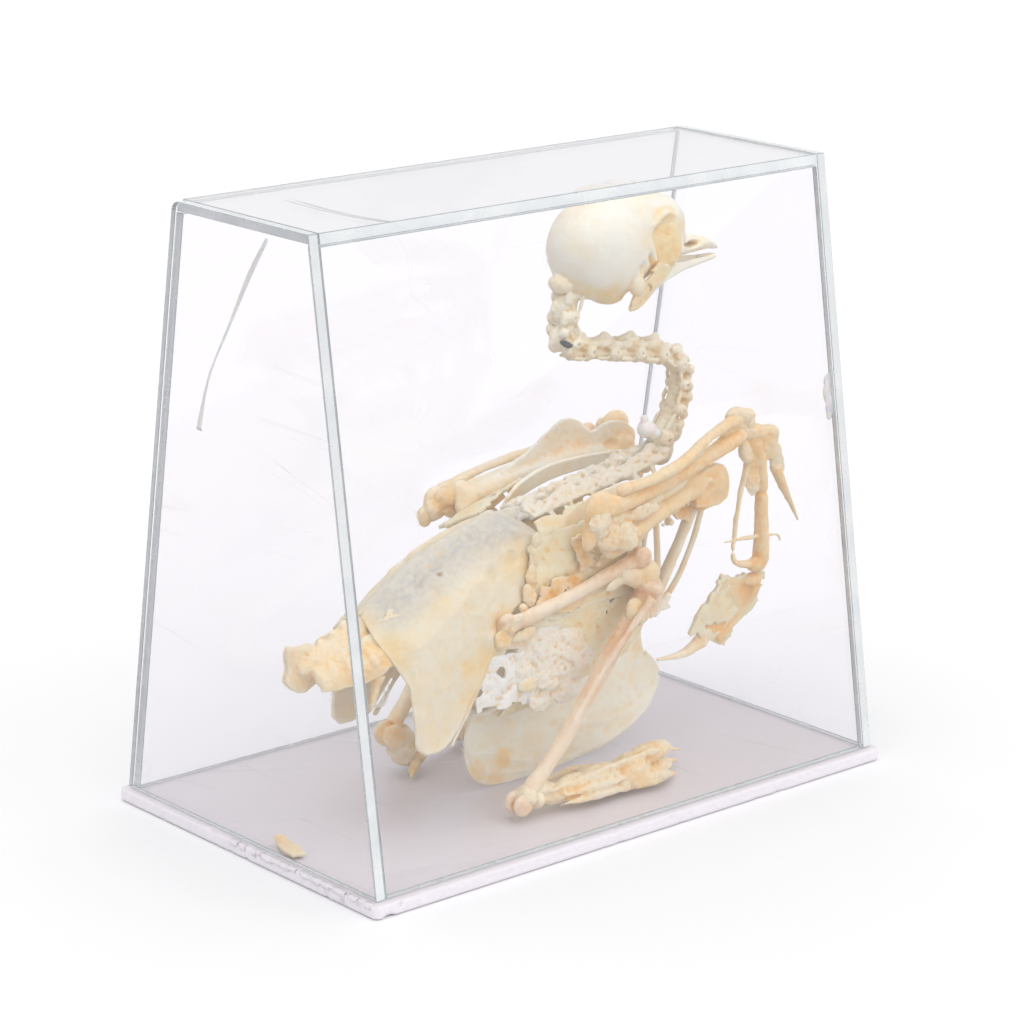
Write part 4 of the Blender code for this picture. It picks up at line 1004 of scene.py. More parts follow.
stained_bone = bone_finish(
    "stained_bone", (0.88, 0.74, 0.49, 1), (0.91, 0.61, 0.27, 1), warmth=0.5, grain=1.4, glow=0.4
)
tail_stains = [((-50, -13, 40), 8, 0.8), ((-56, -14, 36), 7, 0.5)]
tail_mass, tail_pits = tail()
set_bone(tail_mass, stained_bone, "tail_bones", tail_stains, tail_pits)

# The neck
# Ten neck bones on a wire, in three lengths, each bone a spool with an arch over it, a wing to
# each side and small holes beside the spool, painted grey for the shade inside them.

NECK = [
    (9.8, MIDLINE, 113.8), (7.8, MIDLINE, 106.4), (9.4, MIDLINE, 100.4), (16.4, MIDLINE, 99.4),
    (24, MIDLINE, 98.2), (31.6, MIDLINE, 97), (39.2, MIDLINE, 95.4), (44.6, MIDLINE, 91.4),
    (44.6, MIDLINE, 85.4), (42.6, MIDLINE, 79.6), (37.6, MIDLINE, 73),
]


def neck_length(name, node, first, last, up_of):
    """Some neck bones, each from a spool, an arch, wings and little bars."""
    bm = bmesh.new()
    pits = []
    for i in range(first, last):
        a, b = Vector(NECK[i]), Vector(NECK[i + 1])
        size = (8.2 if i < 2 else 7.5) + 0.5 * math.sin(1.7 * i)
        long = (b - a).length
        along = b - a
        frame = turned(along, up_of).to_3x3()
        middle = (a + b) / 2

        def off(x, y, z):
            return tuple(middle + frame @ Vector((x, y, z)))

        def part(place, sizes):
            egg(bm, off(*place), sizes, along, up_of, 16)

        part((0, 0, -0.1 * size), (0.64 * long, 0.22 * size, 0.27 * size))
        part((0.36 * long, 0, -0.1 * size), (0.2 * long, 0.3 * size, 0.3 * size))
        part((-0.36 * long, 0, -0.08 * size), (0.2 * long, 0.28 * size, 0.28 * size))
        part((0, 0, 0.24 * size), (0.46 * long, 0.24 * size, 0.22 * size))
        part((0.05 * long, 0, 0.42 * size), (0.22 * long, 0.08 * size, 0.14 * size))
        for side in (-1, 1):
            part((0.22 * long, side * 0.3 * size, -0.06 * size), (0.24 * long, 0.2 * size, 0.24 * size))
            part((-0.3 * long, side * 0.26 * size, 0.2 * size), (0.24 * long, 0.13 * size, 0.15 * size))
            part((0.34 * long, side * 0.26 * size, 0.2 * size), (0.22 * long, 0.14 * size, 0.13 * size))
            part((-0.2 * long, side * 0.32 * size, -0.24 * size), (0.3 * long, 0.06 * size, 0.07 * size))
            pits.append((off(-0.1 * long, side * 0.3 * size, 0.02 * size), 1.3, 0.6, 0.45))
            pits.append((off(0.26 * long, side * 0.48 * size, -0.04 * size), 0.8, 0.5, 0.6))
    shaft(bm, [(*p, 1.5) for p in NECK[first : last + 1]])
    obj = fused(name, bm, 0.22, smooth=3, lumps=0.5, crumbs=0.4, fill=5)
    set_bone(obj, neck_bone, node, (), pits)


neck_bone = bone_finish(
    "neck_bone", (0.94, 0.865, 0.69, 1), (0.91, 0.68, 0.36, 1), warmth=0.4, greyness=0.02, grain=1.8
)
neck_length("neck_bones_upper", "neck_upper", 0, 2, (-1, 0, 0))
neck_length("neck_bones_middle", "neck_middle", 2, 6, (0, 0, 1))
neck_length("neck_bones_lower", "neck_lower", 6, 10, (1, 0, 0.3))

# The head
# A thin, pale braincase with a large eye socket to each side, the short bill, the fine cheek
# bars and the lower jaw, with dried skin over eyes and cheeks. It is glued to the neck's wire.

SKULL_CENTRE = Vector((20.5, MIDLINE, 122))


def in_head(x, y, z):
    """A point of the head, from the middle of the braincase towards the bill, left and up."""
    return (SKULL_CENTRE.x + x, SKULL_CENTRE.y + y, SKULL_CENTRE.z + z)


BILL = (
    (12, 4.8, 5, -4.8), (14, 4.8, 5, -4.8), (19, 4.2, 3.4, -4.6), (24, 3.2, 0.5, -4.4),
    (28, 2.5, -0.3, -4.2), (31.6, 1.8, -1.3, -4.2), (34.2, 1, -2.6, -4.6), (35.6, 0.4, -3.8, -4.8),
)


def bill(bm, points=20):
    """The upper bill, drawn out along its rows of half width, top and bottom."""
    rings = []
    for x, half, top, bottom in through(BILL, 1):
        ring = []
        for i in range(points):
            turn = 2 * math.pi * i / points
            high = (top + bottom) / 2 + (top - bottom) / 2 * math.sin(turn)
            ring.append(at(*in_head(x, half * math.cos(turn), high)))
        rings.append(ring)
    skin(bm, rings)


def skull():
    """The braincase and bill with the sockets cut out, then the fine bars round them."""
    bm = bmesh.new()
    egg(bm, in_head(-1.4, 0, 0.6), (13.8, 10.3, 12.2), segments=40)
    egg(bm, in_head(4.4, 0, 3), (13.4, 8.6, 10), segments=36)
    egg(bm, in_head(9.6, 0, 2.6), (14, 7.2, 9.8), segments=36)
    egg(bm, in_head(0, 0, -10.2), (4.2, 5, 2.6))
    bill(bm)
    cutter = bmesh.new()
    for side in (-1, 1):
        egg(cutter, in_head(11.9, side * 11.2, 0), (7.2, 6.9, 7.2), segments=36)
        egg(cutter, in_head(25, side * 2.6, -1.7), (3.4, 1.6, 0.8))
        egg(cutter, in_head(20.6, side * 4.6, -1.2), (1.9, 2.4, 1.5))
    egg(cutter, in_head(25, 0, -2), (2.6, 8, 0.5))
    obj = remeshed(object_from(bm, "skull_and_bill"), 0.3)
    carved(obj, cutter, 0.3)
    more = bmesh.new()
    more.from_mesh(obj.data)
    egg(more, in_head(-11, 0, -8), (1.5, 1.7, 1.5))
    shaft(more, [(*in_head(0, 0, -9.4), 1.8), (*in_head(16, 0, -4.4), 1.2)])
    for side in (-1, 1):
        egg(more, in_head(2.6, side * 8, -7.4), (2, 1.6, 2.8))
        cheek = [(*in_head(3, side * 8.6, -8.2), 0.7), (*in_head(10, side * 7, -5.4), 0.55)]
        cheek.append((*in_head(18.5, side * 3.6, -3.6), 0.7))
        shaft(more, cheek)
        spur = [(*in_head(5.4, side * 7.6, 3), 1.4), (*in_head(7.6, side * 8.8, -2.4), 0.5)]
        shaft(more, spur)
        brow = [(*in_head(7, side * 7.8, 5.6), 0.8), (*in_head(12.6, side * 6.4, 7.6), 0.7)]
        brow.append((*in_head(18.6, side * 4.6, 5), 0.7))
        shaft(more, brow)
        palate = [(*in_head(4, side * 5, -8.2), 0.7), (*in_head(16, side * 1.8, -4.8), 0.6)]
        shaft(more, palate)
        tear = [(*in_head(19.2, side * 4.2, 2.6), 0.9), (*in_head(19.6, side * 4.4, -3), 0.7)]
        shaft(more, tear)
    bpy.data.objects.remove(obj, do_unlink=True)
    obj = fused("skull_and_bill", more, 0.28, smooth=3, lumps=0.3)
    pits = [(in_head(3.4, side * 10.2, -3.6), 2.4, 0.9, 0.1) for side in (-1, 1)]
    return obj, pits


skull_bone = bone_finish(
    "skull_bone", (0.975, 0.92, 0.81, 1), (0.96, 0.72, 0.38, 1), warmth=0.3, grain=0.5, glow=0.45
)
head, head_pits = skull()
BROW = ((10, 6.4), (14.4, 6.2), (18.4, 4))
head_stains = [
    (in_head(0, -4, -12), 6, 0.8),
    (in_head(6, -7, -8), 6, 1),
    (in_head(6, 7, -8), 6, 1),
    (in_head(11.5, -4, 0), 7.4, 0.8),
    (in_head(11.5, 4, 0), 7.4, 0.8),
    (in_head(20, 0, -1), 5, 0.3),
    (in_head(27, 0, -3), 6, 0.4),
    *((in_head(x, side * 6.6, z), 3.6, 0.85) for side in (-1, 1) for x, z in BROW),
    (in_head(-10, -3, -8), 5, 0.6),
    (in_head(-4, -5.5, -10), 5.5, 0.8),
    (in_head(3, -6, -10), 6, 1),
    (in_head(6, -9, 4), 5, 0.3),
]
set_bone(head, skull_bone, "skull", head_stains, head_pits)

JAW = [
    (0.6, 7.6, -13, -12.2), (3.2, 8, -12.4, -9.4), (9.4, 6.8, -9.2, -6.2), (15.5, 5.2, -7.6, -5.4),
    (22, 3.4, -6.8, -5.3), (29, 1.6, -6.5, -5.5), (34, 0.5, -6.3, -5.7),
]


def jaw():
    """The two arms of the lower jaw, joined at the tip."""
    bm = bmesh.new()
    for side in (-1, 1):
        rows = []
        for x, y, low, high in JAW:
            rows.append([in_head(x, side * y, z) for z in (low, (low + high) / 2, high)])
        plate(bm, rows, 1, 0.8)
        shaft(bm, [(*in_head(x, side * y, low + 0.3), 0.7) for x, y, low, high in JAW])
    egg(bm, in_head(31.6, 0, -5.95), (2.8, 0.9, 0.6))
    return fused("lower_jaw", bm, 0.24, smooth=3)


cheek_skin = bone_finish("cheek_skin", (0.985, 0.82, 0.48, 1), (0.95, 0.63, 0.26, 1), warmth=0.5, glow=0.4)
CHEEK = (
    ((10, 7.6, -3), (13, 6.8, -4), (16, 5.4, -4.6)),
    ((5, 8.4, -6), (9, 7.6, -7.4), (13, 6.4, -7)),
    ((1.6, 8.2, -9.6), (4, 8.4, -10), (7.6, 7.4, -9.6)),
    ((0.4, 7.8, -12), (1.8, 8, -12.8), (4, 8, -12)),
)
for name, side in (("cheek_skin_right", -1), ("cheek_skin_left", 1)):
    cheek_rows = [[in_head(x, side * y, z) for x, y, z in row] for row in CHEEK]
    membrane(
        name, cheek_rows, 0.9, 0.8, cheek_skin, seed=2 * side, stains=[(in_head(5, side * 8, -8), 12, 0.6)]
    )

for name, side in (("eye_skin_right", -1), ("eye_skin_left", 1)):
    eye_disc = bmesh.new()
    egg(eye_disc, in_head(11.7, side * 6.2, 0), (6.2, 1, 6.2), segments=28)
    eye_skin = fused(name, eye_disc, 0.26, smooth=2, lumps=0.7, crumbs=0.25)
    around = [(in_head(8, side * 6.6, -3), 5, 0.9), (in_head(14.5, side * 6.6, -2), 5, 0.7)]
    set_bone(eye_skin, cheek_skin, None, [*around, (in_head(11, side * 6.6, 3.6), 4, 0.4)])

jaw_stains = [(in_head(2, side * 7.8, -11.6), 8, 0.8) for side in (-1, 1)]
set_bone(jaw(), skull_bone, "mandible", jaw_stains)

# The shoulders
# The strut-like coracoids stand on the front of the breastbone, the sabre-shaped shoulder
# blades lie back along the ribs, and the wishbone hangs in front. All are glued at the joint.


def coracoid(name, node, side_of):
    """A strut with a knuckle above and a broad foot below."""
    bm = bmesh.new()
    line = [(41.4, -18.6, 64.4, 1.7), (39.2, -17, 56, 1.5), (36.4, -14, 45, 1.6)]
    line.append((34.4, -12, 38.4, 2))
    shaft(bm, side_of(line), flat=0.9)
    head, foot = side_of([(42.4, -18.6, 66.4), (34, -11.6, 37.4)])
    hook, heel = side_of([(43.6, -17.4, 64.6), (33.6, -15, 37.8)])
    halves = ((2.6, 2.2, 2.4), (1.5, 4.6, 2.6), (1.6, 1.1, 1.3), (1, 1.8, 1.2))
    eggs(bm, zip((head, foot, hook, heel), halves))
    obj = fused(name, bm, lumps=0.2)
    set_bone(obj, limb_bone, node, [(head, 6, 0.7), (foot, 7, 0.8)])


limb_bone = bone_finish("limb_bone", BONE_PALE, BONE_HONEY, warmth=0.4, grain=0.7, glow=0.4)
# a paler copy of the limb colour for bones that lie in shade: painted light
limb_bone_painted_light = bone_finish(
    "limb_bone_painted_light", (0.99, 0.92, 0.8, 1), (0.97, 0.7, 0.4, 1), warmth=0.3, grain=0.7, glow=0.4
)
coracoid("coracoid_strut_right", "coracoid_right", list)
coracoid("coracoid_strut_left", "coracoid_left", opposite)


def shoulder_blade(name, node, side_of, inset, finish):
    """A sabre of thin bone with a ridge along its lower edge."""
    upper = [(41, -17.4, 69.6), (35, -20, 69.8), (25, -20.8, 70)]
    upper += [(15, -20.6, 69.6), (6, -19.8, 67.4), (1.5, -19.2, 64.6)]
    lower = [(40, -19.4, 66.8), (34.6, -21, 67.2), (25, -21.8, 66.8)]
    lower += [(15, -22, 65.6), (6, -21.2, 63.4), (0.5, -20.2, 61.8)]
    upper, lower = ([(x, y + inset, z) for x, y, z in edge] for edge in (upper, lower))
    bm = bmesh.new()
    rows = [
        [a, tuple((p + q) / 2 for p, q in zip(a, b)), b]
        for a, b in zip(side_of(upper), side_of(lower))
    ]
    plate(bm, rows, 0.9, 1.2)
    ridge = [(*p, 0.6) for p in side_of(lower)]
    shaft(bm, ridge, 1.2, 10)
    egg(bm, side_of([(41, -18.4 + inset, 68.4)])[0], (2.6, 1.8, 1.9))
    obj = fused(name, bm, 0.25, lumps=0.16)
    stains = [(side_of([(40, -18.4 + inset, 68)])[0], 7, 0.8), (side_of([(2, -19.6, 63)])[0], 6, 0.6)]
    set_bone(obj, finish, node, stains)


shoulder_blade("shoulder_blade_right", "scapula_right", list, 2.6, limb_bone)
# the left blade lies in shade and takes the paler copy: painted light
shoulder_blade("shoulder_blade_left", "scapula_left", opposite, 0, limb_bone_painted_light)


def wishbone():
    """Two thin bars that meet in front."""
    line = [
        (45.4, -16.6, 63, 1.2),
        (45, -15.8, 58, 0.95),
        (44.2, -14.4, 51, 0.85),
        (42.4, -11.8, 42, 0.85),
        (40.4, -9.6, 36.4, 0.9),
        (39.6, MIDLINE, 35, 0.95),
    ]
    bm = bmesh.new()
    shaft(bm, line, 1, 12, 0.85)
    shaft(bm, opposite(line), 1, 12, 0.85)
    egg(bm, (39.2, MIDLINE, 34), (0.8, 1.6, 1.8))
    return fused("wishbone", bm, 0.22, lumps=0.12)


wish_stains = [((39.4, MIDLINE, 34.6), 6, 0.8), ((45.4, -16.6, 63), 5, 0.6)]
set_bone(wishbone(), limb_bone, "furcula", wish_stains)

# The wings
# The right wing hangs open from the wrist and the left one is folded over the back. Each long
# bone is hollow and smooth with knuckled ends, and drops of glue hold it to the next.

LIMB_SIZE = 0.25
wing_bone = bone_finish(
    "wing_bone", (0.91, 0.72, 0.43, 1), (0.92, 0.57, 0.23, 1), warmth=0.5, grain=0.7, glow=0.4
)


def limb(name, node, line, knobs, stains=(), cuts=(), bars=(), plates=(), lumps=0.4, finish=limb_bone):
    """A shaft with knuckles, grooves, fine extra bars and crests of bone."""
    bm = bmesh.new()
    shaft(bm, line)
    for rows, thick in plates:
        plate(bm, rows, thick, 1)
    for bar in bars:
        shaft(bm, bar, 1, 12)
    eggs(bm, knobs)
    cutter = eggs(bmesh.new(), cuts) if cuts else None
    obj = fused(name, bm, LIMB_SIZE, lumps=lumps, crumbs=0.2, cutter=cutter, fill=6)
    ends = [(line[0][:3], 7, 0.4), (line[-1][:3], 7, 0.4)]
    return set_bone(obj, finish, node, [*ends, *stains])


limb(
    "upper_arm_right", "humerus_right",
    [(42, -21.4, 66, 2.3), (34, -22.8, 65.6, 2.1), (22, -25.4, 63.4, 2), (12, -27.4, 61, 2.2)],
    knobs=[
        ((43, -21, 66.2), (4.2, 2.4, 4), (1, -0.2, 0.25)),
        ((35.6, -22.8, 67), (5.4, 1.3, 2.6), (1, -0.25, 0.05)),
        ((9.4, -27.6, 60.4), (3, 2.6, 3.2), (1, -0.2, 0.2)),
        ((8.6, -28.4, 62.6), (2.4, 1.6, 2), (1, -0.2, 0.2)),
        ((8.2, -27, 58.4), (2.2, 1.9, 2.2), (1, -0.2, 0.2)),
        ((40.6, -20.6, 61.8), (2.6, 1.8, 2), (1, -0.2, 0.6)),
    ],
    stains=[((46, -21, 66), 6, 0.5), ((37, -22, 61), 6, 0.9), ((24, -25, 63), 8, 0.35)],
    cuts=[((40.6, -24.4, 65.4), (3.2, 1.3, 2.4), (1, -0.2, 0.4))],
    plates=[
        (
            [
                [(47.8, -20.6, 61.8), (48.2, -20.8, 64.6), (47.6, -20.8, 67.6)],
                [(44.8, -21, 60.6), (45, -21.4, 66), (44.8, -21.2, 70.4)],
                [(41, -21.6, 60.8), (41, -21.8, 66), (40.4, -21.8, 70.2)],
                [(36, -22.4, 61.8), (35.6, -22.6, 65), (34.6, -22.6, 69)],
            ],
            2.2,
        ),
    ],
    finish=wing_bone,
)
limb(
    "ulna_of_right_wing", "ulna_right",
    [
        (2, -28.8, 69, 2.7), (12, -27.6, 69.2, 2.1), (26, -25.4, 70.6, 1.9), (38, -24, 73.4, 1.9),
        (48.6, -22.4, 76, 2.2),
    ],
    knobs=[
        ((0.4, -29.2, 68.8), (4.4, 2.1, 4.4), (1, 0, 0.2)),
        ((-2.6, -29.4, 63.6), (1.9, 1.7, 3.6), (1, 0, -0.3)),
        ((-1.2, -28.6, 66.4), (2.2, 1.6, 2.6), (1, 0, 0.2)),
        ((49.4, -22.2, 76.2), (2.6, 2.2, 2.6), (1, 0, 0.3)),
        ((50.4, -21.4, 77.4), (1.4, 1.2, 1.6), (1, 0, 0.3)),
        *(
            ((x, -27.9 + 0.085 * (x - 10), 68.6 + 0.13 * (x - 12)), (0.5, 0.6, 0.6))
            for x in (14, 20, 26, 32, 38)
        ),
    ],
    stains=[
        ((-2, -29, 65), 8, 0.6),
        ((14, -27, 69), 12, 0.5),
        ((30, -25, 71), 14, 0.5),
        ((46, -22.6, 75), 9, 0.8),
    ],
    cuts=[((2.6, -31.4, 66.2), (2.2, 1.2, 1.8), (1, 0, 0.2))],
    lumps=0.55, finish=wing_bone,
)
limb(
    "radius_of_right_wing", "radius_right",
    [
        (8, -29.4, 72.6, 1.2), (15, -29.4, 73, 1.3), (26, -28.4, 75, 1.4), (38, -25.6, 79, 1.25),
        (49, -22.6, 80.4, 1.6),
    ],
    knobs=[((7.8, -29.4, 72.6), (2.2, 1.3, 1.5), (1, 0, 0.2)), ((49.6, -22.2, 80.4), (2.2, 1.7, 1.8))],
    stains=[((30, -28, 76), 9, 0.4)],
    finish=wing_bone,
)
limb(
    "wrist_bone_right", "wrist_right",
    [(52.8, -21.8, 79.2, 1.4), (54.4, -21.6, 79, 1.3)],
    knobs=[((53.6, -21.8, 79.2), (1.7, 1.8, 2.2))],
)
limb(
    "hand_right", "carpometacarpus_right",
    [(56, -21.2, 73.6, 2.2), (59, -21, 66, 1.8), (59.8, -21, 55, 1.7), (60, -21, 43.8, 2)],
    knobs=[
        ((55.8, -21.2, 74.4), (3.4, 2, 3.6)),
        ((61.4, -21.2, 71), (2.4, 1.5, 2.8)),
        ((63.6, -21.2, 69), (1.5, 1.2, 1.8), (1, 0, -0.6)),
        ((58.6, -21, 43.2), (2.8, 1.8, 2)),
        ((53.6, -21.2, 71.6), (1.8, 1.3, 2.2), (1, 0, 0.4)),
    ],
    stains=[((56, -21.2, 72), 7, 0.8), ((60, -21, 60), 7, 0.6), ((58, -21, 43), 6, 0.8)],
    cuts=[((58, -23.2, 75), (1.2, 0.9, 3), (1, 0, 0.4))],
    bars=[
        [
            (55, -21.2, 70, 1), (52.8, -21, 62, 0.7), (51.2, -21, 53, 0.65), (51, -21, 45.6, 0.8),
            (57, -21, 43.4, 1.1),
        ],
        [
            (47.5, -21.2, 50.6, 0.3), (53, -21.2, 50.5, 0.45), (60, -21.4, 50, 0.4),
            (65, -21.3, 49.4, 0.35), (66, -21.4, 47.6, 0.3),
        ],
    ],
    finish=wing_bone,
)
limb(
    "thumb_right", "alula_right",
    [
        (63.6, -21.2, 66.6, 1.5), (66.6, -21.2, 61, 1.1), (69.6, -21.2, 55.8, 0.7),
        (72, -21.2, 51.6, 0.3),
    ],
    knobs=[((64, -21.2, 66), (1.6, 1.3, 1.7), (1, 0, -1))],
    finish=wing_bone,
)

FINGER_RIGHT = [
    [(61.8, -19.6, 38.6), (57.6, -19.6, 39.8), (53.4, -19.4, 40.6), (49.6, -19.2, 41.2)],
    [(60.6, -18.8, 34.2), (56.4, -18.8, 35.6), (51.6, -18.6, 36.6), (47.2, -18.4, 37.4)],
    [(56, -17.4, 28.6), (52.4, -17.4, 30.2), (48, -17.2, 31.8), (43.8, -17, 33)],
    [(51.6, -16.4, 23.4), (49, -16.2, 24.8), (45.4, -16.2, 26.8), (42, -16, 28.6)],
]


def finger_right():
    """The broad finger plate with its thick edges and its one hole."""
    bm = bmesh.new()
    plate(bm, FINGER_RIGHT, 0.9, 1.2)
    shaft(bm, [(59.6, -19.6, 38.8, 1.6), (57.6, -18.2, 32, 1.2), (50.6, -16.4, 25.2, 1.3)])
    shaft(bm, [(51, -19.4, 41, 1), (46, -17.6, 35, 0.7), (43, -16.2, 28.6, 0.7)])
    egg(bm, (58.6, -19.8, 39.2), (3, 1.7, 1.6))
    cutter = bmesh.new()
    egg(cutter, (51.8, -18, 34.2), (1.5, 3, 2.6), (1, 0, 0.6))
    return fused("finger_right", bm, 0.25, smooth=3, lumps=0.3, crumbs=0.2, cutter=cutter)


finger_stains = [((59, -19.4, 38), 6, 0.8), ((50, -17, 28), 6, 0.9), ((45, -17, 33), 4, 0.6)]
set_bone(finger_right(), wing_bone, "wing_digit_right", finger_stains)
limb(
    "finger_tip_right", "wing_tip_right",
    [(46.2, -15.8, 25.6, 1.9), (41, -16, 23.8, 1.1), (36, -16.2, 23.6, 0.7), (30.8, -16.8, 24.2, 0.35)],
    knobs=[((46.6, -15.8, 25.8), (1.9, 1.4, 1.8))],
)

limb(
    "upper_arm_left", "humerus_left",
    [(38.6, 6, 69.4, 2.6), (30, 9.8, 68.6, 2.4), (18, 15.6, 65, 2.2), (6, 21.4, 60.6, 2.5)],
    knobs=[
        ((38.8, 5.8, 69.6), (4, 2.4, 3.6), (0.9, -0.4, 0.2)),
        ((4.4, 21.4, 60.2), (3, 2.6, 3.4), (0.9, -0.4, 0.2)),
        ((3.6, 22.4, 62.2), (2.2, 1.8, 2), (0.9, -0.4, 0.2)),
        ((3.4, 20.8, 58.2), (2.2, 1.9, 2.2), (0.9, -0.4, 0.2)),
    ],
    stains=[((38.8, 5.8, 70), 7, 0.9), ((28, 10.6, 70), 8, 0.4), ((4, 21.4, 60), 7, 0.6)],
    cuts=[((35, 4.8, 71.6), (2.6, 1.6, 1.8), (0.9, -0.4, 0.2))],
    plates=[
        (
            [
                [(42.6, 5, 67.8), (43, 5.2, 70.6), (42.8, 5.6, 73.4)],
                [(39, 6, 68.2), (39.2, 6, 72), (39.6, 6, 76)],
                [(34.6, 7.6, 68.4), (34.8, 7.2, 72.6), (34.8, 6.8, 76.2)],
                [(31.2, 9.2, 68.4), (31.6, 8.8, 71.8), (31.9, 8.2, 74.2)],
                [(28.6, 10.6, 68.2), (29.4, 10.6, 72.6), (30.6, 11, 76.4)],
                [(25, 12.4, 67.4), (25.8, 12.2, 72.8), (26.6, 12, 77.4)],
                [(20.4, 14.4, 66), (21, 14.2, 70), (21.4, 13.8, 73.6)],
                [(16.6, 16.2, 64.8), (17, 15.8, 67.8), (17.6, 15.2, 70)],
                [(12, 18.4, 62.8), (12.2, 18.2, 64.4), (12.4, 18, 65.8)],
            ],
            1.5,
        ),
    ],
    # the paler copy: painted light on this shaded bone
    finish=limb_bone_painted_light,
)
limb(
    "ulna_of_left_wing", "ulna_left",
    [
        (0.6, 26.2, 58.4, 2.6), (10, 25.9, 60.4, 2), (24, 25.4, 62.6, 1.9), (36, 23.8, 64.6, 1.9),
        (44.6, 21.8, 66, 2.1),
    ],
    knobs=[
        ((-0.6, 26, 58.6), (3.6, 2, 4.2), (1, 0, 0.3)),
        ((-4.4, 25.8, 56), (2, 1.7, 2.6)),
        ((45, 21.6, 66), (2.4, 2, 2.4)),
        *(
            ((x, 27.4 - 0.02 * (x - 10), 59.8 + 0.16 * (x - 10)), (0.5, 0.6, 0.6))
            for x in (13, 19, 25, 31)
        ),
    ],
    stains=[((-3, 26, 57), 7, 0.7)],
)
limb(
    "radius_of_left_wing", "radius_left",
    [
        (3.6, 28.6, 60.8, 1.4), (14, 28.8, 63.2, 1.1), (24, 28.2, 64.9, 1.1), (34, 26.6, 66.4, 1.1),
        (43.6, 23.6, 69.2, 1.4),
    ],
    knobs=[((3.6, 28.6, 60.8), (2, 1.5, 1.6), (1, 0, 0.2)), ((44.4, 23.2, 69.6), (2, 1.6, 1.6))],
)
limb(
    "wrist_bone_left", "wrist_left",
    [(47, 21.6, 70, 1.3), (48.4, 21.4, 70.4, 1.2)],
    knobs=[((47.8, 21.6, 70.2), (1.7, 1.6, 2))],
)
limb(
    "hand_left", "carpometacarpus_left",
    [(49.6, 19.4, 69, 2.2), (41, 19.2, 66.4, 1.8), (29, 19.8, 64.2, 1.7), (18, 20.8, 61.4, 2)],
    knobs=[((49.4, 19, 70.6), (4.4, 2, 3.8)), ((17.6, 20.8, 61.2), (1.8, 2, 2.2))],
    stains=[((49, 19, 70), 7, 0.7)],
    cuts=[((52.4, 20.4, 71), (1.2, 1, 2.4))],
    bars=[
        [
            (46, 18.8, 67.4, 1), (38, 16, 64.4, 0.7), (29, 16.2, 62.8, 0.65), (22, 18.6, 61.6, 0.8),
            (18.6, 20.6, 61.2, 1.1),
        ],
    ],
)
limb(
    "thumb_left", "alula_left",
    [(43, 17.6, 70.4, 1.2), (37, 16.8, 69.4, 0.9), (31.6, 16.4, 67.6, 0.4)],
    knobs=[((42.8, 17.6, 70.4), (1.3, 1.2, 1.3))],
)

FINGER_LEFT = [
    [(15, 20.8, 62.4), (15, 20.6, 60.4), (15, 20.4, 58.4)],
    [(9, 20.6, 60.4), (9, 20.2, 58), (8.6, 20, 55.6)],
    [(3, 19.8, 57), (2.6, 19.6, 55.2), (2.2, 19.4, 53.4)],
    [(-2, 19, 54.6), (-2.4, 18.8, 53.2), (-2.8, 18.6, 52.2)],
]


def finger_left():
    """The folded finger plate with its thick edges."""
    bm = bmesh.new()
    plate(bm, FINGER_LEFT, 0.9, 1.2)
    shaft(bm, [(15.4, 20.8, 61.8, 1.5), (6, 20.2, 58.6, 1.1), (-2.2, 18.9, 54, 1.2)])
    shaft(bm, [(15.2, 20.6, 58.8, 0.9), (6, 19.8, 54.8, 0.7), (-2.6, 18.8, 52.6, 0.8)])
    return fused("finger_left", bm, 0.25, smooth=3, lumps=0.2, crumbs=0.1)


set_bone(finger_left(), limb_bone, "wing_digit_left", [((14, 20.6, 60), 6, 0.7)])
limb(
    "finger_tip_left", "wing_tip_left",
    [(-4.4, 18.4, 52.4, 1.4), (-9.6, 17.8, 50.2, 1), (-14.6, 17.4, 48.2, 0.7), (-19, 17, 46.6, 0.35)],
    knobs=[((-4.4, 18.4, 52.4), (1.5, 1.3, 1.5))],
)

# The legs
# Thigh, shin with its splint, and the laid-flat foot. The knuckles are glued, and shreds of
# dried skin are left round the knee and the toes. The bird sits between its feet.

shin_bone = bone_finish(
    "shin_bone", (0.91, 0.77, 0.58, 1), (0.84, 0.54, 0.3, 1), warmth=0.3, grain=0.7, glow=0.35
)
limb(
    "thigh_right", "femur_right",
    [(-18.8, -21.2, 43.8, 1.9), (-8, -23.4, 47, 1.7), (4, -25.2, 50.8, 1.7), (13.8, -26.8, 54, 2)],
    knobs=[
        ((-19.6, -20.8, 43.6), (2.6, 2.2, 3), (1, -0.2, 0.2)),
        ((-20, -22, 45.4), (2, 1.3, 1.8), (1, -0.2, 0.2)),
        ((15, -25.8, 54.6), (2.4, 1.5, 2.5), (1, -0.2, 0.3)),
        ((14.8, -28.2, 55), (2.4, 1.4, 2.5), (1, -0.2, 0.3)),
    ],
    stains=[((15, -27, 55), 6, 1.1), ((8, -26, 52.4), 9, 0.7), ((-19, -21, 44), 6, 1)],
    cuts=[((17, -27, 55.8), (1.4, 0.6, 1.8), (1, -0.2, 0.3))],
    finish=shin_bone,
)
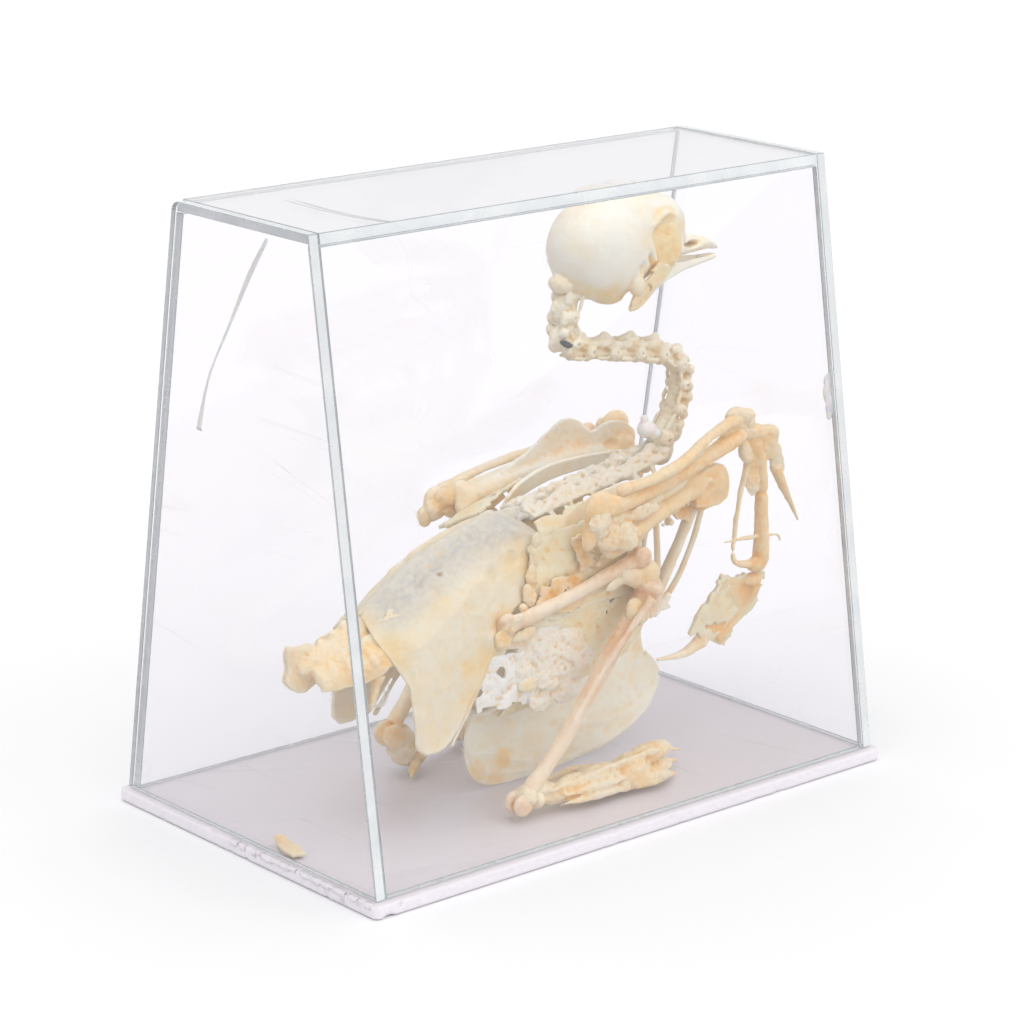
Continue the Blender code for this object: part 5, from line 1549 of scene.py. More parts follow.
limb(
    "shin_right", "tibiotarsus_right",
    [
        (17.6, -27.4, 46.6, 3), (13.4, -27.5, 42.2, 2.3), (3.4, -27.6, 30.6, 1.9),
        (-8.6, -27.8, 15.9, 1.75), (-19.6, -28, 5.6, 2),
    ],
    knobs=[
        ((17.2, -27.4, 47.4), (3.6, 4, 2.2), (1, 0, -0.4)),
        ((20, -26.4, 43.6), (3, 0.9, 4.8), (1, 0, -0.2)),
        ((-21.4, -26.6, 4.4), (2.8, 1.4, 2.7)),
        ((-21.4, -29.4, 4.4), (2.8, 1.4, 2.7)),
    ],
    stains=[
        ((16, -27.4, 45), 8, 1),
        ((8, -28.4, 37), 8, 0.9),
        ((0, -28, 27), 7, 0.5),
        ((-21, -28, 4), 6, 0.6),
    ],
    cuts=[((-23.8, -28, 5), (1.6, 0.6, 2))],
    bars=[
        [
            (15.4, -31, 45.8, 1.2), (9.8, -30.4, 40, 0.8), (1.6, -29.4, 30.4, 0.6),
            (-8.4, -28.8, 17.6, 0.5),
        ],
    ],
    finish=shin_bone,
)
limb(
    "foot_bone_right", "tarsometatarsus_right",
    [(-16.8, -28.4, 4.8, 1.9), (-8, -28.8, 4.6, 1.8), (0, -29, 4, 1.8), (7, -29, 3.4, 2.2)],
    knobs=[
        ((-17.2, -28.2, 4.8), (1.9, 3.2, 2.4)),
        ((7.6, -29, 3.2), (2.2, 1.5, 1.9)),
        ((7.4, -31.4, 3), (1.9, 1.3, 1.8)),
        ((7.4, -26.6, 3.4), (1.9, 1.3, 1.8)),
    ],
    stains=[((-8, -28, 4), 6, 0.3)],
    bars=[
        [(-14, -27.4, 6.2, 0.6), (-4, -27.8, 5.8, 0.5), (5, -27.8, 4.8, 0.6)],
        [(-14, -30, 6, 0.6), (-4, -30.2, 5.6, 0.5), (5, -30.4, 4.6, 0.6)],
    ],
)

limb(
    "thigh_left", "femur_left",
    [(-18.6, 5.6, 44.6, 1.9), (-10, 10.4, 47.2, 1.7), (0, 15.6, 50.4, 1.7), (9, 20.4, 53.2, 2.1)],
    knobs=[
        ((-19.6, 5, 44.4), (2.6, 2.2, 3.2), (0.9, 0.4, 0.2)),
        ((9.6, 22.4, 53.6), (2.8, 1.6, 2.9), (0.9, 0.4, 0.3)),
        ((11, 19.6, 53.8), (2.8, 1.5, 3), (0.9, 0.4, 0.3)),
    ],
    finish=shin_bone,
)
limb(
    "shin_left", "tibiotarsus_left",
    [
        (12.6, 21.8, 46.8, 3), (8, 20.6, 42.6, 2.3), (-3, 18, 33, 1.9), (-14, 15.2, 23, 1.75),
        (-24.8, 12.4, 12.8, 2),
    ],
    knobs=[
        ((12.6, 21.8, 47.2), (3.6, 4, 2.2), (1, 0.2, -0.4)),
        ((15, 21.2, 43.6), (3, 0.9, 4.6), (1, 0.2, -0.2)),
        ((-26.4, 13.4, 10.8), (2.8, 1.5, 3.2), (1, -0.3, 0.6)),
        ((-25.8, 10.6, 10.6), (2.8, 1.5, 3.2), (1, -0.3, 0.6)),
    ],
    stains=[((-26, 12, 11), 7, 0.7)],
    bars=[[(10.6, 25, 45.4, 1.2), (4, 22.6, 40, 0.8), (-5, 20, 31.6, 0.6), (-14, 16.6, 23.4, 0.5)]],
)
limb(
    "foot_bone_left", "tarsometatarsus_left",
    [(-22, 12.8, 6.4, 1.9), (-15, 14.4, 5.8, 1.8), (-6, 16.6, 4.8, 1.8), (2.6, 18.8, 3.6, 2.2)],
    knobs=[
        ((-23.4, 12.4, 6.2), (2.4, 3.2, 2), (1, 0.2, -0.2)),
        ((3.4, 19, 3.4), (2.2, 1.5, 1.9), (1, 0.2, 0)),
        ((2.8, 21.4, 3.2), (1.9, 1.3, 1.8), (1, 0.2, 0)),
        ((3.8, 16.8, 3.4), (1.9, 1.3, 1.8), (1, 0.2, 0)),
    ],
    stains=[((-22, 12.8, 6), 6, 0.6)],
)

TOE_RADII = (1.3, 1.1, 0.9, 0.3)
TOES = {
    "right": (
        ("inner", [(10.8, -26.8, 4.2), (18, -24, 6.4), (26.5, -21.2, 4.6), (36, -19.8, 1.6)]),
        ("middle", [(11, -29.4, 3.2), (18, -28.4, 3.6), (25, -25.8, 2.8), (31, -23.8, 1.4)]),
        ("outer", [(10.6, -32.2, 2.8), (15, -33, 2.6), (20, -31.6, 2.2), (25, -29.4, 1.2)]),
        ("hind", [(6.6, -24.6, 4.2), (8, -20.2, 3.8), (3, -17, 3), (-3, -15.4, 1.6)]),
    ),
    "left": (
        ("inner", [(6.6, 16.8, 3.6), (13, 15.4, 3.4), (20, 15.8, 2.6), (26, 17.6, 1.4)]),
        ("middle", [(7.2, 19.6, 3.4), (15, 20.4, 3.2), (23, 22, 2.6), (31, 24.4, 1.4)]),
        ("outer", [(6.4, 22.4, 3.2), (13, 25, 2.8), (19, 27, 2.2), (25, 28.6, 1.2)]),
        ("hind", [(-19.6, 9.6, 4.6), (-21.2, 8.8, 3.2), (-22.8, 7.8, 2.2), (-24, 6.8, 1.4)]),
    ),
}


def toe(name, node, line):
    """A toe with a knuckle at every joint, a claw at its tip and dried skin round it."""
    bm = bmesh.new()
    rows = [(*p, r) for p, r in zip(line, TOE_RADII)]
    shaft(bm, rows, 0.8, 12)
    for index, point in enumerate(line[:3]):
        big = 1.45 - 0.2 * index
        egg(bm, point, (big, big, 0.9 * big))
    obj = fused(name, bm, 0.2, smooth=2, lumps=0.4, crumbs=0.25)
    claw = Vector(line[3])
    set_bone(obj, stained_bone, node, [(tuple(claw), 4, 0.8), (line[0], 4, 0.4)])


for side, rows in TOES.items():
    for which, line in rows:
        toe("toe_" + which + "_" + side + "_fine", "toe_" + which + "_" + side, line)

# Dried skin and crumbs
# What the cleaning left on the bones: a crumbly pad between the right hip and the breastbone,
# a white film behind it, skin at the joints, thin webs between the bones, and crumbs.


def scraps(name, finish, size, lumps, crumbs, rows, stains=()):
    """A ragged pad of dried tissue from eggs, lying close to bone."""
    obj = fused(name, eggs(bmesh.new(), rows), size, smooth=2, lumps=lumps, crumbs=crumbs)
    return set_bone(obj, finish, None, stains)


tissue = bone_finish(
    "dried_tissue", (0.89, 0.77, 0.55, 1), (0.92, 0.62, 0.28, 1), warmth=0.4, grain=2, glow=0.5
)
pad_tissue = bone_finish(
    "pad_tissue", (0.97, 0.9, 0.79, 1), (0.94, 0.74, 0.48, 1), warmth=0.3, grain=2.2, glow=0.5
)
scraps(
    "pad_of_dried_tissue", pad_tissue, size=0.26, lumps=1, crumbs=0.6,
    rows=[
        ((-15, -20.4, 40.4), (5.4, 1.1, 2.2), (1, 0, 0.2)),
        ((-8, -21.2, 38.6), (6.4, 1.2, 3.8), (1, 0, 0.1)),
        ((-1, -21.6, 36), (6, 1.2, 4.6), (1, 0, -0.4)),
        ((3, -21.4, 31.4), (3.4, 1.1, 4.8), (1, 0, -0.8)),
        ((-6, -21.2, 31.6), (6, 1, 5.6)),
        ((-12.6, -20.6, 33.6), (5, 0.9, 5.4)),
        ((-1, -20.6, 26.6), (4.4, 0.9, 5), (1, 0, -0.6)),
        ((-8.4, -20, 26), (4.6, 0.8, 5)),
    ],
    stains=[((-16, -20, 41), 6, 0.8), ((2, -21, 38), 6, 0.7), ((5, -21, 28), 5, 0.7)],
)
film_white = bone_finish(
    "dried_film", (0.97, 0.94, 0.88, 1), (0.93, 0.78, 0.52, 1), warmth=0.25, grain=1.2, glow=0.2
)
scraps(
    "knee_skin_right", tissue, size=0.24, lumps=0.7, crumbs=0.3,
    rows=[
        ((13, -27.6, 50.4), (4.6, 1.5, 2.4), (1, 0, -0.4)),
        ((16.8, -27.6, 50.6), (3.2, 2, 3.2)),
        ((8.6, -27.2, 50.2), (4.4, 0.8, 1.4), (1, 0, 0.3)),
        ((18.4, -27.4, 46), (2.6, 2.2, 3.6), (1, 0, -0.3)),
        ((13, -28.6, 42.6), (3, 1.6, 4), (1, 0, 1)),
    ],
    stains=[((16, -27, 50), 6, 0.6), ((12, -28, 44), 6, 0.5)],
)
scraps(
    "foot_skin_right", tissue, size=0.26, lumps=0.9, crumbs=0.4,
    rows=[
        ((-8, -28.8, 5.2), (8, 2.4, 3), (1, 0, 0.1)),
        ((2, -29, 5.2), (8, 3, 3.6)),
        ((11, -29, 5), (6, 4.2, 4)),
        ((-3, -30.4, 6.9), (12, 0.8, 1.1), (1, 0, 0.06)),
        ((3, -31.6, 4.9), (15, 0.8, 0.9), (1, 0, 0.02)),
        ((1, -31.6, 2.7), (14, 0.9, 0.9), (1, 0, -0.02)),
        ((9, -30.8, 8.2), (11, 0.8, 1), (1, 0, 0.05)),
        ((18, -28, 7.2), (6.4, 2.6, 2.5), (1, 0.2, -0.1)),
        ((24, -24.6, 5.8), (5, 1.8, 2.1), (1, 0.3, -0.2)),
        ((15, -32.4, 3.2), (6.4, 1.4, 1.8)),
        ((20, -28.6, 3), (5.6, 1.8, 1.6), (1, 0.2, 0)),
        ((5, -22.6, 3.8), (2.6, 3.6, 1.7)),
    ],
    stains=[((18, -27, 7), 7, 0.7), ((10, -30, 3), 6, 0.7), ((-6, -30, 3), 5, 0.5)],
)
scraps(
    "hip_skin_right", tissue, size=0.24, lumps=0.9, crumbs=0.5,
    rows=[
        ((-18.4, -22.6, 44.8), (3.6, 1, 2), (1, -0.1, 0.2)),
        ((-21.2, -21.6, 41.4), (2.6, 1.1, 2.6)),
        ((-15.6, -22.4, 41.6), (3.4, 0.9, 1.6), (1, -0.1, 0.3)),
    ],
    stains=[((-21, -21.6, 42), 4, 0.9)],
)
scraps(
    "brim_skin_right", tissue, size=0.24, lumps=0.9, crumbs=0.4,
    rows=[
        ((-8.6, -18.2, 61), (1.5, 0.7, 2.2), (1, 0, -0.3)),
        ((-10.2, -19.2, 57.6), (1.3, 0.7, 3), (1, 0, 0.2)),
        ((-11.2, -20, 53.2), (1.3, 0.7, 3.2), (1, 0, 0.1)),
        ((-12.4, -20.8, 49), (1.4, 0.7, 3.2), (1, 0, 0.3)),
        ((-14.2, -21.2, 45.4), (1.4, 0.8, 2.8), (1, 0, 0.4)),
    ],
    stains=[((-11.6, -20, 52), 6, 0.8), ((-14, -21, 45), 4, 1)],
)
scraps(
    "ankle_skin_right", tissue, size=0.24, lumps=1.2, crumbs=0.2,
    rows=[((-19.6, -28, 5.6), (2.6, 3, 2.6), (1, 0, 0.6)), ((-15, -28.2, 6), (4.4, 2.4, 2.2), (1, 0, 0.2))],
)
scraps(
    "foot_skin_left", tissue, size=0.28, lumps=0.9, crumbs=0.4,
    rows=[
        ((-22.6, 12, 8.4), (3.4, 3.6, 4), (1, 0.2, 0)),
        ((-20, 12.6, 4.4), (4.6, 3.4, 2.4), (1, 0.2, 0)),
        ((8, 19.4, 3.4), (5.4, 4.4, 2), (1, 0.2, 0)),
        ((15, 21, 3), (5, 3.4, 1.4), (1, 0.2, 0)),
    ],
)
scraps(
    "elbow_skin_right", tissue, size=0.24, lumps=1.1, crumbs=0.5,
    rows=[
        ((3, -28, 65.6), (4.6, 1.4, 3.6), (1, 0, 0.1)),
        ((9, -27.6, 64.6), (5, 1.3, 3), (1, 0, 0.2)),
        ((6, -27.4, 59), (3, 1.6, 2.6)),
        ((13.6, -26.6, 60), (3.4, 1.4, 2.6), (1, 0, 0.6)),
        ((-0.6, -30.4, 66.2), (3.4, 1.2, 3.6), (1, 0, -0.2)),
        ((8.4, -29.6, 61.4), (3.6, 1.4, 3.4)),
        ((3.2, -29.6, 62.2), (4.6, 0.9, 2.6), (1, 0, -0.3)),
        ((14, -29, 66), (5, 0.9, 1.8), (1, 0, 0.1)),
    ],
    stains=[((4, -28, 60), 6, 0.7), ((12, -27, 62), 6, 0.6)],
)
scraps(
    "elbow_skin_left", tissue, size=0.26, lumps=0.9, crumbs=0.4,
    rows=[
        ((1.6, 23.6, 61), (4.4, 1.8, 2.6), (1, 0, 0.1)),
        ((-2.4, 25, 57.6), (2.6, 1.8, 3.2)),
        ((4.6, 24, 57), (5, 1.6, 2.4), (1, 0, 0.2)),
    ],
    stains=[((0, 24, 60), 7, 0.7)],
)
scraps(
    "neck_skin", neck_bone, size=0.24, lumps=0.8, crumbs=0.4,
    rows=[
        ((7.6, -8, 115.8), (3.3, 2.9, 2.6)),
        ((12, -8, 114), (3, 2.6, 2.4), (1, 0, 0.4)),
        ((38.6, -8.2, 71.6), (3.4, 2.8, 3), (1, 0, 0.5)),
        ((42, -8, 76), (2.8, 2.4, 3.4), (1, 0, 1)),
    ],
)
WEBS = {
    "forearm_web_right": (
        [
            [(4, -28.8, 70), (12, -27.8, 70.4), (26, -25.8, 71.8), (36, -24.4, 74)],
            [(5, -29, 71.2), (13, -28.6, 71.8), (26, -27.2, 73.4), (36.4, -25.2, 76.2)],
            [(7, -29.4, 72.6), (15, -29.4, 73.2), (26, -28.4, 75.2), (36.8, -26, 78.6)],
        ],
        0.9,
        0.9,
    ),
    "back_web_right": (
        [
            [(-6, -14.4, 64.2), (6, -14.8, 66), (18, -15.2, 67.6), (31, -14.8, 69.2)],
            [(-6.2, -16.8, 61.2), (6, -17.8, 63), (18, -18.2, 64.4), (31, -17.4, 66.4)],
            [(-6.6, -17.6, 58.6), (6, -19, 60.4), (18, -19.6, 61.8), (31, -18.8, 64)],
        ],
        1,
        0.9,
    ),
    "shoulder_web_right": (
        [
            [(14, -26.4, 66.4), (24, -24.4, 68.8), (34, -22.6, 71.6), (42, -21.4, 72.4)],
            [(15, -26.2, 64.4), (25, -24.2, 65.4), (35, -22.4, 67.2), (43, -21, 68)],
            [(17, -25, 60.6), (26, -23.2, 61.2), (34, -21.6, 61.4), (40, -20, 61.6)],
        ],
        0.8,
        0.5,
    ),
    "flank_web_right": (
        [
            [(-11, -17.8, 60), (-3, -18.6, 62.4), (8, -20.8, 64.6), (18, -21.4, 64)],
            [(-11.6, -19.4, 54), (-3, -20.8, 55.8), (8, -22.6, 58.4), (18, -22.8, 57.6)],
            [(-13.4, -20.2, 47.4), (-4, -22, 48.8), (6, -23, 51), (18, -23.4, 51.6)],
            [(-15.4, -20.8, 42), (-5, -22.4, 43), (4, -23, 44.6), (18, -23.4, 45)],
        ],
        0.8,
        0.8,
    ),
    "belly_web_right": (
        [
            [(-14, -20.4, 43), (-4, -22.4, 44), (8, -22.8, 46), (20, -22.8, 46)],
            [(-15, -20, 36), (-5, -21.2, 37), (8, -22.4, 38), (22, -22, 39)],
            [(-17, -18.6, 27), (-7, -19.6, 28), (5, -20.6, 29), (19, -20.4, 31)],
            [(-18, -15, 20), (-7, -15, 21), (4, -15, 23), (16, -15, 26)],
        ],
        0.6,
        0.7,
    ),
    "back_web_left": (
        [
            [(-4, 6, 61), (6, 10, 63), (16, 12, 66)],
            [(-6, 12, 58), (4, 16, 60), (14, 17, 62)],
            [(-6, 19, 55), (3, 21, 57), (12, 21, 59)],
        ],
        0.8,
        0.5,
    ),
    "tail_web_right": (
        [
            [(-45, -12, 52), (-51, -11, 47.6), (-57, -10.4, 44)],
            [(-44, -16.4, 47.6), (-50.4, -14.6, 43), (-56.4, -13.6, 40.6)],
            [(-44.6, -18.6, 43), (-48.6, -16.4, 39), (-54, -15, 36.6)],
        ],
        0.9,
        0.6,
    ),
    "finger_web_right": (
        [
            [(62.8, -19.6, 40.4), (56, -19.6, 42.2), (49, -19.4, 42.6)],
            [(62.6, -19, 35), (55, -18.8, 36.6), (45.8, -18.6, 38)],
            [(58.8, -17.8, 28.4), (52, -17.6, 30.6), (42.6, -17.4, 32.6)],
            [(53, -16.6, 22.8), (48, -16.4, 25.2), (41.2, -16.2, 28)],
        ],
        0.9,
        0.4,
    ),
}
for index, (name, (rows, thick, eaten)) in enumerate(WEBS.items()):
    membrane(name, rows, thick, eaten, dried_muscle, seed=7 * index)
amber_skin = bone_finish("amber_skin", (0.93, 0.64, 0.29, 1), (0.8, 0.4, 0.1, 1), warmth=0.75, grain=1.6)
AMBER = {
    "amber_web_by_hip": [
        [(-10.6, -21.2, 52.4), (-5.4, -22.8, 53.2), (0, -23.6, 53.6)],
        [(-12.4, -21.6, 47.4), (-6, -23.4, 48), (0.8, -24, 48.6)],
        [(-14.4, -21.8, 43.6), (-6.8, -23.6, 44.2), (1.6, -24.2, 45)],
    ],
    "amber_web_by_elbow": [
        [(-1.8, -20.8, 61.2), (1.2, -21.8, 62), (3.6, -22.4, 61.8)],
        [(-1.4, -22.4, 57), (1.4, -23.2, 57.6), (4, -23.8, 57.4)],
        [(-0.4, -23.2, 52.4), (2, -23.8, 52.8), (4.6, -24.2, 53.2)],
    ],
    "amber_web_by_shoulder": [
        [(31, -20.2, 63), (35, -19.6, 63.4), (39, -18.8, 63)],
        [(31.6, -20, 60.4), (35.6, -19.4, 60.2), (39.6, -18.6, 59.6)],
        [(33, -19.6, 58.2), (36.4, -19.2, 57.4), (39.4, -18.4, 56)],
    ],
}
for index, (name, rows) in enumerate(AMBER.items()):
    membrane(name, rows, 0.6, 0.5, amber_skin, seed=11 + 5 * index, step=0.35, folds=0.9)
film_rows = [
    [(-27, -20.4, 37), (-20, -20.9, 37.6), (-12, -21.2, 37)],
    [(-28, -20.2, 31), (-20, -20.7, 31.4), (-11, -20.6, 31)],
    [(-27, -19.6, 24.6), (-20, -20, 24.2), (-10, -19.4, 23.4)],
]
membrane("film_behind_pad", film_rows, 0.4, 0.55, film_white, seed=3, step=0.3, folds=1.2)
scraps(
    "wrist_skin_right", tissue, size=0.24, lumps=0.8, crumbs=0.4,
    rows=[
        ((55.6, -21.8, 76), (4.6, 1.6, 2.4), (1, 0, -0.3)),
        ((60.4, -21.4, 73), (3.4, 1.3, 3.6), (1, 0, -0.6)),
        ((57.2, -21.4, 69.6), (3.2, 1.1, 4.4)),
        ((53.4, -21.6, 72), (1.8, 1.2, 3.4), (1, 0, 0.4)),
        ((63.6, -21.3, 68.6), (1.8, 1, 3.4)),
        ((51, -22, 81), (4.6, 1.8, 1.9), (1, 0, -0.15)),
        ((48, -22.4, 78.4), (4.6, 1.2, 2.6), (1, 0, 0.1)),
        ((61.2, -21.4, 75.2), (2.8, 1.5, 1.9), (1, 0, -0.5)),
        ((56.4, -21.4, 65.4), (2.9, 0.8, 5.2)),
        ((65.2, -21.2, 65.6), (1.4, 0.9, 3.6)),
    ],
    stains=[((58, -21, 74), 7, 0.8), ((56, -21, 68), 6, 0.9), ((48, -22, 79), 6, 0.5)],
)
crumb_pieces = bmesh.new()
random.seed(5)
CRUMB_PLACES = (
    (0.7, -22, 59.1), (4.4, -23.4, 56.5), (-3.7, -22.4, 48.1), (-1.2, -23, 46.3), (-7.1, -21.8, 45.7),
    (30, -19.6, 60),
)
for centre in CRUMB_PLACES:
    for _ in range(7):
        shift = Vector([random.uniform(-reach, reach) for reach in (2.6, 0.8, 2.4)])
        size = random.uniform(0.5, 1.2)
        along = (1, 0, random.uniform(-1, 1))
        egg(crumb_pieces, Vector(centre) + shift, (size * 1.3, size * 0.7, size), along, segments=10)
crumb_pad = fused("crumbs_by_the_ribs", crumb_pieces, 0.24, smooth=1, lumps=0.5, crumbs=0.3)
set_bone(crumb_pad, stained_bone, None, [((0.7, -19, 58), 12, 0.7)])

# Glue and chip
# A bead of clear-white glue where the neck meets the back, and a loose chip of bone that lies
# on the board behind the tail.


def glue_finish():
    """Milky, glossy glue with a soft, uneven skin."""
    material, tree, shader = new_material("clear_glue")
    cloud = worn(tree, 600, 4000)["Cloud"]
    colour = tinted(tree, cloud, (0.99, 0.985, 0.98, 1), (0.93, 0.93, 0.93, 1))
    finished(tree, shader, colour, mapped(tree, cloud, 0, 1, 0.12, 0.4), cloud, 0.3)
    shader.inputs["Subsurface Weight"].default_value = 0.6
    shader.inputs["Subsurface Scale"].default_value = 0.002
    return material


clear_glue = glue_finish()
bead = bmesh.new()
egg(bead, (34.4, MIDLINE, 77.6), (2.4, 2.2, 2.1))
egg(bead, (33.6, MIDLINE, 80.2), (1, 1, 1))
egg(bead, (36, MIDLINE - 1, 76.4), (1.6, 1.4, 1.4))
glue_drop = fused("bead_of_glue", bead, 0.22, lumps=0.3)
shaded(glue_drop, clear_glue)
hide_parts("glue_bead")
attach(glue_drop, "root")

chip_rows = [
    [(-70.4, -4.8, 1.7), (-71.6, -8, 1.2), (-72.4, -11, 1), (-72.8, -14.6, 0.9)],
    [(-69.6, -5, 2.1), (-70.4, -8.2, 1.9), (-71, -11.2, 1.5), (-71.6, -15, 1.2)],
    [(-68.6, -5.4, 1.9), (-69, -8.6, 1.5), (-69.4, -11.6, 1.2), (-70, -15.6, 1)],
]
chip = bmesh.new()
plate(chip, chip_rows, 0.9, 0.8)
loose_chip = fused("loose_chip_of_bone", chip, 0.2, smooth=2, lumps=0.5, crumbs=0.3)
set_bone(loose_chip, stained_bone, "bone_chip", [((-70, -8, 1.5), 6, 0.5)])

# The cover
# Five sheets of clear 2.5 mm acrylic, solvent-welded at their edges: two upright ends, two
# leaning sides between them and a flat top. The sawn edges stay a little frosted and grey.

COVER_LENGTH = 151
COVER_HEIGHT = 140
COVER_FOOT_WIDTH = 90.6
COVER_TOP_WIDTH = 47.4
SHEET = 2.5
GAP = 0.3
EDGE_EASE = 0.16
BROAD_SHARE = 0.3  # a face larger than this share of the largest is a polished one
ACRYLIC_IOR = 1.49


def acrylic_finish():
    """Clear acrylic: lamps reach what is inside, and scratches and wipe marks show faintly."""
    material, tree, shader = new_material("clear_acrylic")
    wear = worn(tree, 28, 900, 38, 0.006)
    smear = mapped(tree, wear["Cloud"], 0.5, 0.8, 0, 0.06)
    rough = worked(tree, "MULTIPLY_ADD", wear["Scratch"], 0.25, smear)
    tree.links.new(rough, shader.inputs["Roughness"])
    shader.inputs["Base Color"].default_value = (0.978, 0.972, 0.99, 1)
    shader.inputs["Transmission Weight"].default_value = 1
    shader.inputs["IOR"].default_value = ACRYLIC_IOR
    return let_lamps_through(material, tree, shader, (0.96, 0.97, 0.975, 1))


def let_lamps_through(material, tree, shader, tint):
    """Rays from the lamps pass the sheet unbent, so that what is inside is lit."""
    path = wire(tree, "ShaderNodeLightPath")
    clear = wire(tree, "ShaderNodeBsdfTransparent", {"Color": tint})
    either = {0: path.outputs["Is Shadow Ray"], 1: shader.outputs[0], 2: clear.outputs[0]}
    mix = wire(tree, "ShaderNodeMixShader", either)
    tree.links.new(mix.outputs[0], tree.nodes["Material Output"].inputs["Surface"])
    return material


def edge_finish(name, pale, grey):
    """The sawn and welded edges of the sheets: greyer, with fine saw marks."""
    material, tree, shader = new_material(name)
    wear = worn(tree, 160, 1500)
    rough = mapped(tree, wear["Cloud"], 0, 1, 0.08, 0.5)
    finished(tree, shader, tinted(tree, wear["Cloud"], pale, grey), rough, wear["Grain"], 0.4)
    shader.inputs["Transmission Weight"].default_value = 0.2
    shader.inputs["IOR"].default_value = ACRYLIC_IOR
    return let_lamps_through(material, tree, shader, (0.8, 0.85, 0.87, 1))


CLEAR_ACRYLIC = acrylic_finish()
ACRYLIC_EDGE = edge_finish("acrylic_edge", (0.95, 0.96, 0.965, 1), (0.74, 0.78, 0.8, 1))
ACRYLIC_SEAM = edge_finish("acrylic_seam", (0.62, 0.65, 0.67, 1), (0.3, 0.34, 0.36, 1))


def half_width(height, inset=0):
    """Half the cover's width at a height, less an inset."""
    share = height / COVER_HEIGHT
    wide = COVER_FOOT_WIDTH + (COVER_TOP_WIDTH - COVER_FOOT_WIDTH) * share
    return wide / 2 - inset


def acrylic_sheet(name, node, corners, start, end):
    """A sheet whose outline of y and z is drawn out along X, with eased edges."""
    bm = bmesh.new()
    skin(bm, [[at(x, y, z) for y, z in corners] for x in (start, end)])
    bmesh.ops.recalc_face_normals(bm, faces=bm.faces)
    bmesh.ops.bevel(bm, geom=list(bm.edges), offset=EDGE_EASE * MM, segments=2, affect="EDGES", profile=0.5)
    obj = object_from(bm, name)
    obj.data.materials.append(CLEAR_ACRYLIC)
    obj.data.materials.append(ACRYLIC_EDGE)
    obj.data.materials.append(ACRYLIC_SEAM)
    broad = max(face.area for face in obj.data.polygons)
    for face in obj.data.polygons:
        place = [obj.data.vertices[v].co for v in face.vertices]
        longest = max((a - b).length for a, b in zip(place, place[1:] + place[:1]))
        narrow = face.area / longest < 1.5 * EDGE_EASE * MM
        face.material_index = 0 if face.area > BROAD_SHARE * broad else 2 if narrow else 1
    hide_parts(node)
    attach(obj, "root")
    return obj


long_end = COVER_LENGTH / 2
inner_end = long_end - SHEET - GAP
lean = (COVER_FOOT_WIDTH - COVER_TOP_WIDTH) / 2 / COVER_HEIGHT
sheet_across = SHEET * math.hypot(1, lean)
top_under = COVER_HEIGHT - SHEET
side_top = top_under - GAP
end_corners = [
    (half_width(GAP), GAP),
    (half_width(COVER_HEIGHT), COVER_HEIGHT),
    (-half_width(COVER_HEIGHT), COVER_HEIGHT),
    (-half_width(GAP), GAP),
]
leant = math.atan(lean)
CORNER = 2.4  # the far upper corner of this sheet is rounded off
edge_line = half_width(0) * math.cos(leant)
corner_z = COVER_HEIGHT - CORNER
corner_y = (edge_line - CORNER - corner_z * math.sin(leant)) / math.cos(leant)
turns = [leant + (math.pi / 2 - leant) * k / 5 for k in range(6)]
arc = [(corner_y + CORNER * math.cos(t), corner_z + CORNER * math.sin(t)) for t in turns]
tail_corners = [end_corners[0], *arc, *end_corners[2:]]
acrylic_sheet("cover_end_by_tail", "case_end_tail", tail_corners, -long_end, SHEET - long_end)
acrylic_sheet("cover_end_by_head", "case_end_head", end_corners, long_end - SHEET, long_end)
for which, side in (("right", -1), ("left", 1)):
    side_corners = [
        (side * half_width(GAP), GAP),
        (side * half_width(side_top), side_top),
        (side * half_width(side_top, sheet_across), side_top),
        (side * half_width(GAP, sheet_across), GAP),
    ]
    acrylic_sheet("cover_side_" + which, "case_side_" + which, side_corners, -inner_end, inner_end)
top_corners = [
    (half_width(top_under), top_under),
    (half_width(COVER_HEIGHT), COVER_HEIGHT),
    (-half_width(COVER_HEIGHT), COVER_HEIGHT),
    (-half_width(top_under), top_under),
]
acrylic_sheet("cover_top", "case_top", top_corners, -inner_end, inner_end)

# Glue on the cover, and the wire
# A string of glue that has run down the inside of the cover's tail end, a smear of it in the
# corner by the head, and the dark end of the neck's wire where it comes out at a bend.

GLUE_RUN = [(-8.2, 136.5, 0.5), (-2.1, 128, 0.7), (5.2, 116, 0.42)]
GLUE_RUN += [(12.7, 103.6, 0.36), (16.4, 93, 0.7), (16.9, 90.4, 0.95)]
run = bmesh.new()
shaft(run, [(-72.9, y, z, r) for y, z, r in GLUE_RUN], 1.5, 16, 0.3, (1, 0, 0))
glue_run = object_from(run, "string_of_glue")
shaded(glue_run, clear_glue)
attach(glue_run, "root")

smear = bmesh.new()
for x, z, size in ((71.6, 84.6, 2.6), (71.9, 81, 3), (72.1, 87.6, 1.8)):
    egg(smear, (x, -(half_width(z) - 2.5), z), (1.3, 0.5, size))
glue_smear = fused("smear_of_glue", smear, 0.3, smooth=3, lumps=0.4)
shaded(glue_smear, clear_glue)
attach(glue_smear, "root")

